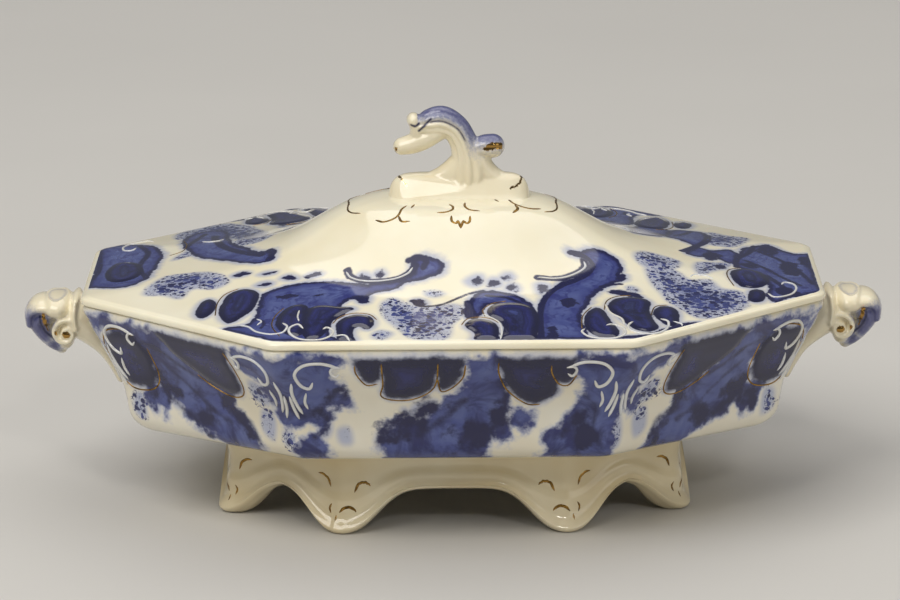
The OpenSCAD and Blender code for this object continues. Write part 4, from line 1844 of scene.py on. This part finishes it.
# A bar along a curve in the XZ plane, from stations [x, z, radius in the plane, half width in Y]:
# at each step an ellipse, pressed in by a bell-shaped groove at each given angle from the outer
# side, and a rounded cap at each end.
def sweptBar(stations, grooves=(), step=0.7, around=56):
    line = smoothCurve(stations, step)
    centre = np.column_stack([line[:, 0], np.zeros(len(line)), line[:, 1]])
    along = unit(np.gradient(centre, axis=0))
    scale = np.ones(len(line))
    turn = np.linspace(0.08, math.pi / 2, capRings, endpoint=False)
    radius, half = line[:, 2], line[:, 3]
    head = centre[0] - along[0] * (np.cos(turn) * radius[0])[:, None]
    tail = centre[-1] + along[-1] * (np.cos(turn[::-1]) * radius[-1])[:, None]
    centre = np.vstack([head, centre, tail])
    along = np.vstack([np.tile(along[0], (capRings, 1)), along, np.tile(along[-1], (capRings, 1))])
    radius = np.concatenate([np.full(capRings, radius[0]), radius, np.full(capRings, radius[-1])])
    half = np.concatenate([np.full(capRings, half[0]), half, np.full(capRings, half[-1])])
    scale = np.concatenate([np.sin(turn), scale, np.sin(turn[::-1])])
    outer = np.column_stack([along[:, 2], np.zeros(len(along)), -along[:, 0]])
    angle = np.linspace(0, 2 * math.pi, around, endpoint=False)
    folded = np.abs((angle + math.pi) % (2 * math.pi) - math.pi)
    press = np.zeros(around)
    for at, depth, spread in grooves:
        press += depth * np.exp(-(((folded - math.radians(at)) / math.radians(spread)) ** 2))
    across = (radius * scale)[:, None] - press * scale[:, None] ** 2
    wide = (half * scale)[:, None] - press * scale[:, None] ** 2
    ring = centre[:, None] + outer[:, None] * (across * np.cos(angle))[..., None]
    ring[..., 1] += wide * np.sin(angle)
    rows = len(centre)
    poles = np.stack([centre[0] - along[0] * 0.05, centre[-1] + along[-1] * 0.05])
    return np.vstack([ring.reshape(-1, 3), poles]), [
        ringFaces(rows, around)[:, ::-1], poleFaces(rows, around)[:, ::-1]
    ]


# Stations of a rolled leaf: a spiral in the XZ plane whose radius, thickness and half width shrink
# evenly with the turn.
def rolledLeaf(roll, step=72):
    t = np.linspace(0, 1, step)
    turn = math.radians(roll["start"]) + roll["way"] * t * roll["turns"] * 2 * math.pi
    radius = roll["outer"] + (roll["inner"] - roll["outer"]) * t
    x = roll["x"] + radius * np.cos(turn)
    z = roll["z"] + radius * np.sin(turn)
    thick = roll["thick"] * (1 - roll["thinning"] * t)
    half = roll["half"] * (1 - roll["taper"] * t)
    return np.column_stack([x, z, thick, half])


# Welds closed bars into one skin: voxels of the given size, then a few rounds of smoothing.
def weldedMesh(name, parts, voxelMm, rounds):
    points, faces = joinParts(parts)
    raw = makeMesh(name + "Raw", points, faces)
    holder = bpy.data.objects.new(name + "Raw", raw)
    bpy.context.scene.collection.objects.link(holder)
    weld = holder.modifiers.new("weld", "REMESH")
    weld.mode = "VOXEL"
    weld.voxel_size = voxelMm * 0.001
    weld.use_smooth_shade = True
    calm = holder.modifiers.new("calm", "SMOOTH")
    calm.factor = 0.5
    calm.iterations = rounds
    bpy.context.view_layer.update()
    finished = bpy.data.meshes.new_from_object(
        holder.evaluated_get(bpy.context.evaluated_depsgraph_get())
    )
    bpy.data.objects.remove(holder, do_unlink=True)
    finished.name = name
    finished.polygons.foreach_set("use_smooth", np.ones(len(finished.polygons), bool))
    return finished


def meshPoints(mesh):
    values = np.empty(len(mesh.vertices) * 3, np.float32)
    mesh.vertices.foreach_get("co", values)
    return values.reshape(-1, 3).astype(float) * 1000


# Signed distance into the nearest of several balls [x, y, z, radius]; y counts on both sides.
def ballDistance(p, balls):
    result = np.full(len(p), -farOff)
    for x, y, z, r in balls:
        away = np.sqrt((p[:, 0] - x) ** 2 + (np.abs(p[:, 1]) - y) ** 2 + (p[:, 2] - z) ** 2)
        result = np.maximum(result, r - away)
    return result


handle = {
    "bracket": [
        (123.3, 42.8, 2.2, 6),
        (125.4, 48, 2.8, 7),
        (128.6, 54.4, 3.9, 8.8),
        (133.4, 61, 6.2, 11.4),
        (137.4, 65.4, 8.0, 12.4),
        (138.6, 66.6, 8.0, 12.6),
    ],
    "collar": [(139.2, 73.2, 1.9, 12), (139.4, 69, 2.2, 13.8), (138.8, 63.6, 2.1, 13.2)],
    "bun": [(145.2, 70.7, 5.1, 13.6), (147.2, 70.9, 5.0, 13.2)],
    "ridge": [
        (149.4, 71.2, 3.2, 11.8), (153.6, 70.6, 3.2, 10.6), (156.2, 68.2, 2.5, 9), (156.4, 64, 2.1, 7.6)
    ],
    "facet": [
        (151.6, 66.8, 4.4, 8.8),
        (153.4, 64.2, 4.0, 7.8),
        (151.4, 60.2, 3.5, 6.6),
        (148, 56.6, 3.2, 5.6),
        (145.4, 54.2, 2.4, 4.2),
    ],
    "core": [(142.4, 66, 5.6, 10.4), (143.4, 61, 5.2, 9.8), (144, 57, 3.4, 7.6)],
    "curl": {
        "x": 142.8,
        "z": 62.0,
        "start": 152,
        "way": -1,
        "turns": 1.4,
        "outer": 5.6,
        "inner": 1.0,
        "thick": 1.25,
        "thinning": 0.3,
        "half": 2.8,
        "taper": 0.1,
    },
    "curlOut": 9.8,
    "curlStep": 0.45,
    "bossStep": 0.4,
    "boss": [(142.2, 61.6, 2.1, 2.9), (143, 61.7, 2.1, 2.9)],
    "voxelMm": 0.45,
    "tint": [
        (154.4, 7.6, 64.6, 7.0),
        (158.4, 0, 64.6, 8.0),
        (151.8, 6.4, 60, 4.8),
        (148, 5, 55.4, 4.2),
        (147.4, 10.4, 65.6, 1.9),
        (148.6, 12, 59.4, 2.0),
    ],
    "gold": [
        (142.6, 12.9, 61.7, 1.6),
        (145.8, 12.4, 62.4, 1.2),
    ],
    "facetGroove": (78, 0.7, 9),
    # the hollow pressed into the bun's top, and the blue ring near its edge
    "hollow": {"x": 146.4, "long": 3.8, "wide": 10.4, "depth": 1.5, "above": 72.0},
    "hollowRing": {"above": 71.5, "at": 0.4, "reach": 0.3, "fall": 4.0},
    # on the sides, further out than sideY
    "sideY": 5.0,
    "line": (0.8, [(152.4, 68), (152.2, 65), (150.8, 61.4), (147.4, 58.2)]),
    "streak": (1.5, [(151.2, 68.6), (151, 66.6), (150.4, 64.4), (149.4, 62)]),
}


def buildHandles():
    parts = [
        sweptBar(handle["bracket"]),
        sweptBar(handle["collar"]),
        sweptBar(handle["bun"]),
        sweptBar(handle["ridge"]),
        sweptBar(handle["facet"], [handle["facetGroove"]]),
        sweptBar(handle["core"]),
    ]
    for side in (-1, 1):
        points, faces = sweptBar(rolledLeaf(handle["curl"]), (), handle["curlStep"])
        parts.append((points + [0, side * handle["curlOut"], 0], faces))
        points, faces = sweptBar(handle["boss"], (), handle["bossStep"])
        parts.append((points + [0, side * handle["curlOut"], 0], faces))
    mesh = weldedMesh("handleRight", parts, handle["voxelMm"], 3)
    points = meshPoints(mesh)
    x, y, z = points.T
    # the bun's top is dished: pressed down inside an oval
    hollow = handle["hollow"]
    oval = 1 - ((x - hollow["x"]) / hollow["long"]) ** 2 - (y / hollow["wide"]) ** 2
    press = np.clip(oval, 0, 1) ** 0.6 * hollow["depth"]
    points[:, 2] -= np.where(z > hollow["above"], press, 0)
    mesh.vertices.foreach_set("co", (points * 0.001).astype(np.float32).ravel())
    mesh.update()
    tint = ballDistance(points, handle["tint"])
    ring = handle["hollowRing"]
    ringDistance = ring["reach"] - np.abs(oval - ring["at"]) * ring["fall"]
    tint = np.maximum(tint, np.where(z > ring["above"], ringDistance, -farOff))
    onSide = np.abs(y) > handle["sideY"]
    width, path = handle["line"]
    line = np.where(onSide, strokeDistance(x, z, path, width), -farOff)
    width, path = handle["streak"]
    streak = np.where(onSide, strokeDistance(x, z, path, width), -farOff)
    gold = np.maximum(ballDistance(points, handle["gold"]), streak)
    layers = {"tint": tint, "line": line, "gold": gold}
    right = addPiece("handleRight", mesh, tintedGlaze, "dish", layers)
    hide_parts("handle_right")
    other = mesh.copy()
    other.name = "handleLeft"
    points[:, 0] *= -1
    other.vertices.foreach_set("co", (points * 0.001).astype(np.float32).ravel())
    other.flip_normals()
    other.update()
    left = addPiece("handleLeft", other, tintedGlaze, "dish")
    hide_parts("handle_left")


finial = {
    "mound": {
        "x": 2.5, "half": 25.9, "wide": 13.6, "top": 119.4, "low": 110.2, "bottom": 109.2,
        "waist": 0.36, "bell": 1.6, "endFall": 0.45,
    },
    "flutes": [(40, 0.7, 7), (76, 1.3, 6), (104, 1.0, 6), (134, 0.8, 7)],
    "bulbGroove": (96, 0.6, 8),
    # blue outwards of tintFrom from the stem's middle line and above tintZ, with a dark line inside it
    "tintFrom": 1.3,
    "tintZ": 127.5,
    "lineAt": 1.2,
    "bulbFrom": (9.6, 129.8),
    "tintEndX": -12.6,
    "lineEndX": -8.0,
    "tipLines": [
        (0.9, [(-14.8, 138.2), (-13.2, 137.8), (-12, 138.8)]),
        (0.9, [(-7.6, 140.6), (-9.6, 138.4), (-12, 136)]),
    ],
    "skirt": [(-9, 115, 4, 3.6), (-3.4, 116.8, 4.8, 4.6), (2, 119.8, 5.8, 5.4), (6, 123.6, 6, 5.6)],
    "tail": [
        (20.4, 114.8, 3.6, 3.4), (15.4, 116.8, 4.2, 4.4), (11.2, 120.2, 4.8, 5.2), (9, 124.6, 4.8, 5.4)
    ],
    "stem": [
        (6.2, 116, 7.4, 7),
        (6.2, 120.4, 7.8, 7.2),
        (6, 124.6, 6.6, 6.8),
        (5, 128.4, 5.5, 6.3),
        (3.7, 132, 5.1, 6.1),
        (1.1, 136, 5.2, 6.2),
        (-3.6, 138.4, 5.8, 6.4),
        (-8.4, 138, 5.0, 6),
        (-11, 137.4, 3.7, 5.4),
    ],
    "knob": [(-12.6, 134.6, 2.8, 4.6), (-13.4, 137.4, 2.3, 5), (-14.1, 139.3, 2.5, 5.4)],
    "bill": [
        (-4.6, 134.8, 3.4, 5.2), (-10.2, 132, 3.9, 5.2), (-14.6, 130.2, 3.7, 4.9),
        (-18.4, 129.3, 3.2, 4.4),
    ],
    "bulb": [(9.4, 128.6, 3.6, 5.4), (12, 129.2, 4.1, 5.8), (15.0, 129.2, 4.4, 5.8)],
    "voxelMm": 0.42,
    "gold": [
        (13.6, 5.8, 129.8, 1.3),
        (15, 5.6, 130.2, 1.4),
        (16.4, 5, 130.2, 1.4),
        (17.6, 4, 130, 1.3),
        (12.2, 5.8, 129.2, 0.9),
        (-20.6, 3.4, 128.8, 0.9),
    ],
    "curls": [
        (0.7, [(-19.8, 118.2), (-18.6, 117.6), (-17.4, 116.6), (-16.6, 115.6)]),
        (0.8, [(25.2, 118.6), (25.4, 117), (24, 115.4), (21.4, 114.6)]),
    ],
}


# The foot of the knob: a mound whose height falls off sideways as exp(-(bell v)^3) and lengthwise
# as (1 - u^8)^endFall, so that it runs out into the dome, closed by a flat underside. Its width
# narrows to the ends by the waist's share of u^2 and closes there as (1 - u^10)^0.5.
def finialMound(mound):
    u = np.sin(np.linspace(-1.54, 1.54, 110))
    v = np.linspace(-1, 1, 49)
    x = mound["x"] + mound["half"] * u
    wide = mound["wide"] * (1 - mound["waist"] * u * u) * (1 - u**10) ** 0.5
    bell = np.exp(-((mound["bell"] * np.abs(v)) ** 3))
    rise = (mound["top"] - mound["low"]) * (1 - u**8) ** mound["endFall"]
    top = np.empty((len(u), len(v), 3))
    top[..., 0] = x[:, None]
    top[..., 1] = wide[:, None] * v
    top[..., 2] = mound["low"] + rise[:, None] * bell
    under = top[:, ::-1].copy()
    under[..., 2] = mound["bottom"]
    rings = np.concatenate([top, under], axis=1)
    rows, around = rings.shape[:2]
    middle = (mound["low"] + mound["bottom"]) / 2
    poles = [[x[0] - 0.1, 0, middle], [x[-1] + 0.1, 0, middle]]
    return np.vstack([rings.reshape(-1, 3), poles]), [
        ringFaces(rows, around)[:, ::-1], poleFaces(rows, around)[:, ::-1]
    ]


def buildFinial():
    parts = [
        finialMound(finial["mound"]),
        sweptBar(finial["skirt"]),
        sweptBar(finial["tail"]),
        sweptBar(finial["stem"], finial["flutes"]),
        sweptBar(finial["knob"]),
        sweptBar(finial["bill"]),
        sweptBar(finial["bulb"], [finial["bulbGroove"]]),
    ]
    mesh = weldedMesh("finialScroll", parts, finial["voxelMm"], 3)
    points = meshPoints(mesh)
    stem = smoothCurve(finial["stem"], 0.5)[:, :2]
    along = unit(np.gradient(stem, axis=0))
    outer = np.column_stack([along[:, 1], -along[:, 0]])
    away = np.hypot(points[:, None, 0] - stem[:, 0], points[:, None, 2] - stem[:, 1])
    nearest = away.argmin(axis=1)
    offset = ((points[:, [0, 2]] - stem[nearest]) * outer[nearest]).sum(axis=1)
    x, z = points[:, 0], points[:, 2]
    arch = np.clip((z - finial["tintZ"]) / 3, -3, 3)
    tint = np.minimum(offset - finial["tintFrom"], arch)
    bulbX, bulbZ = finial["bulbFrom"]
    tint = np.maximum(tint, np.where(x > bulbX, z - bulbZ, -farOff))
    tint = np.where(x < finial["tintEndX"], -3, tint)
    line = np.minimum(0.3 - np.abs(offset - finial["lineAt"]), arch - 1.6)
    line = np.where(x < finial["lineEndX"], -farOff, line)
    for width, path in finial["tipLines"]:
        line = np.maximum(line, strokeDistance(x, z, path, width))
    gold = ballDistance(points, finial["gold"])
    for width, path in finial["curls"]:
        gold = np.maximum(gold, strokeDistance(x, z, path, width))
    layers = {"tint": tint, "line": line, "gold": gold}
    piece = addPiece("finialScroll", mesh, tintedGlaze, "cover", layers)
    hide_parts("finial")


buildHandles()
buildFinial()


# Floor, light and camera.

studio = {
    "floorSize": 9.0,
    "key": {"place": (-1.3, -1.5, 2.6), "size": 2.2, "power": 66},
    "fill": {"place": (2.4, -1.6, 1.1), "size": 1.8, "power": 11},
    "top": {"place": (0.2, 0.7, 2.6), "size": 3.2, "power": 38},
    "glint": {"place": (0.7, -2.5, 1.9), "size": 0.28, "power": 8},
    "world": 0.15,
}


def buildStudio():
    half = studio["floorSize"] / 2
    mesh = bpy.data.meshes.new("studioFloor")
    mesh.from_pydata(
        [(-half, -half, 0), (half, -half, 0), (half, half, 0), (-half, half, 0)], [], [(0, 1, 2, 3)]
    )
    floor = bpy.data.objects.new("studioFloor", mesh)
    bpy.context.scene.collection.objects.link(floor)
    material, tree = newMaterial("paintedStudioFloor")
    place = millimetres(tree)
    patch = addNode(tree, "ShaderNodeTexNoise", {"Scale": 1 / 300, "Detail": 3.0}, {"Vector": place})
    colour = addNode(
        tree,
        "ShaderNodeMix",
        {"data_type": "RGBA", 6: linear("#D3D1CC"), 7: linear("#CAC8C3")},
        {0: patch},
    )
    shader = addNode(tree, "ShaderNodeBsdfPrincipled", {"Roughness": 0.62}, {"Base Color": (colour, 2)})
    addNode(tree, "ShaderNodeOutputMaterial", None, {"Surface": shader})
    mesh.materials.append(material)
    for name in ("key", "fill", "top", "glint"):
        lamp = studio[name]
        light = bpy.data.lights.new(name + "Softbox", "AREA")
        light.energy = lamp["power"]
        light.size = lamp["size"]
        light.color = (1.0, 0.97, 0.93)
        holder = bpy.data.objects.new(name + "Softbox", light)
        bpy.context.scene.collection.objects.link(holder)
        x, y, z = lamp["place"]
        holder.location = (x, y, z)
        away = math.hypot(x, y)
        holder.rotation_euler = (math.atan2(away, z - 0.08), 0, math.atan2(x, -y))
    world = bpy.data.worlds.new("studioAir")
    bpy.context.scene.world = world
    world.use_nodes = True
    world.node_tree.nodes["Background"].inputs["Color"].default_value = (0.93, 0.95, 1.0, 1)
    world.node_tree.nodes["Background"].inputs["Strength"].default_value = studio["world"]


view = {
    "azimuth": 0.05,
    "elevation": 14.7,
    "distance": 1.6,
    "lens": 172.75,
    "roll": -0.45,
    "target": (-0.00114, 0.0, 0.07076),
}


# The camera looks at the target from the given azimuth and elevation, turned by the roll.
def buildCamera():
    camera = bpy.data.cameras.new("studioCamera")
    camera.sensor_width = 36
    camera.lens = view["lens"]
    camera.clip_end = 60
    holder = bpy.data.objects.new("studioCamera", camera)
    bpy.context.scene.collection.objects.link(holder)
    azimuth, elevation = math.radians(view["azimuth"]), math.radians(view["elevation"])
    back = np.array(
        [
            math.sin(azimuth) * math.cos(elevation),
            -math.cos(azimuth) * math.cos(elevation),
            math.sin(elevation),
        ]
    )
    holder.location = np.array(view["target"]) + back * view["distance"]
    holder.rotation_euler = (math.pi / 2 - elevation, 0, azimuth)
    bpy.context.view_layer.update()
    holder.rotation_euler.rotate_axis("Z", math.radians(view["roll"]))
    bpy.context.scene.camera = holder


buildStudio()
buildCamera()
bpy.context.scene.view_settings.view_transform = "Standard"
print("studio ready")
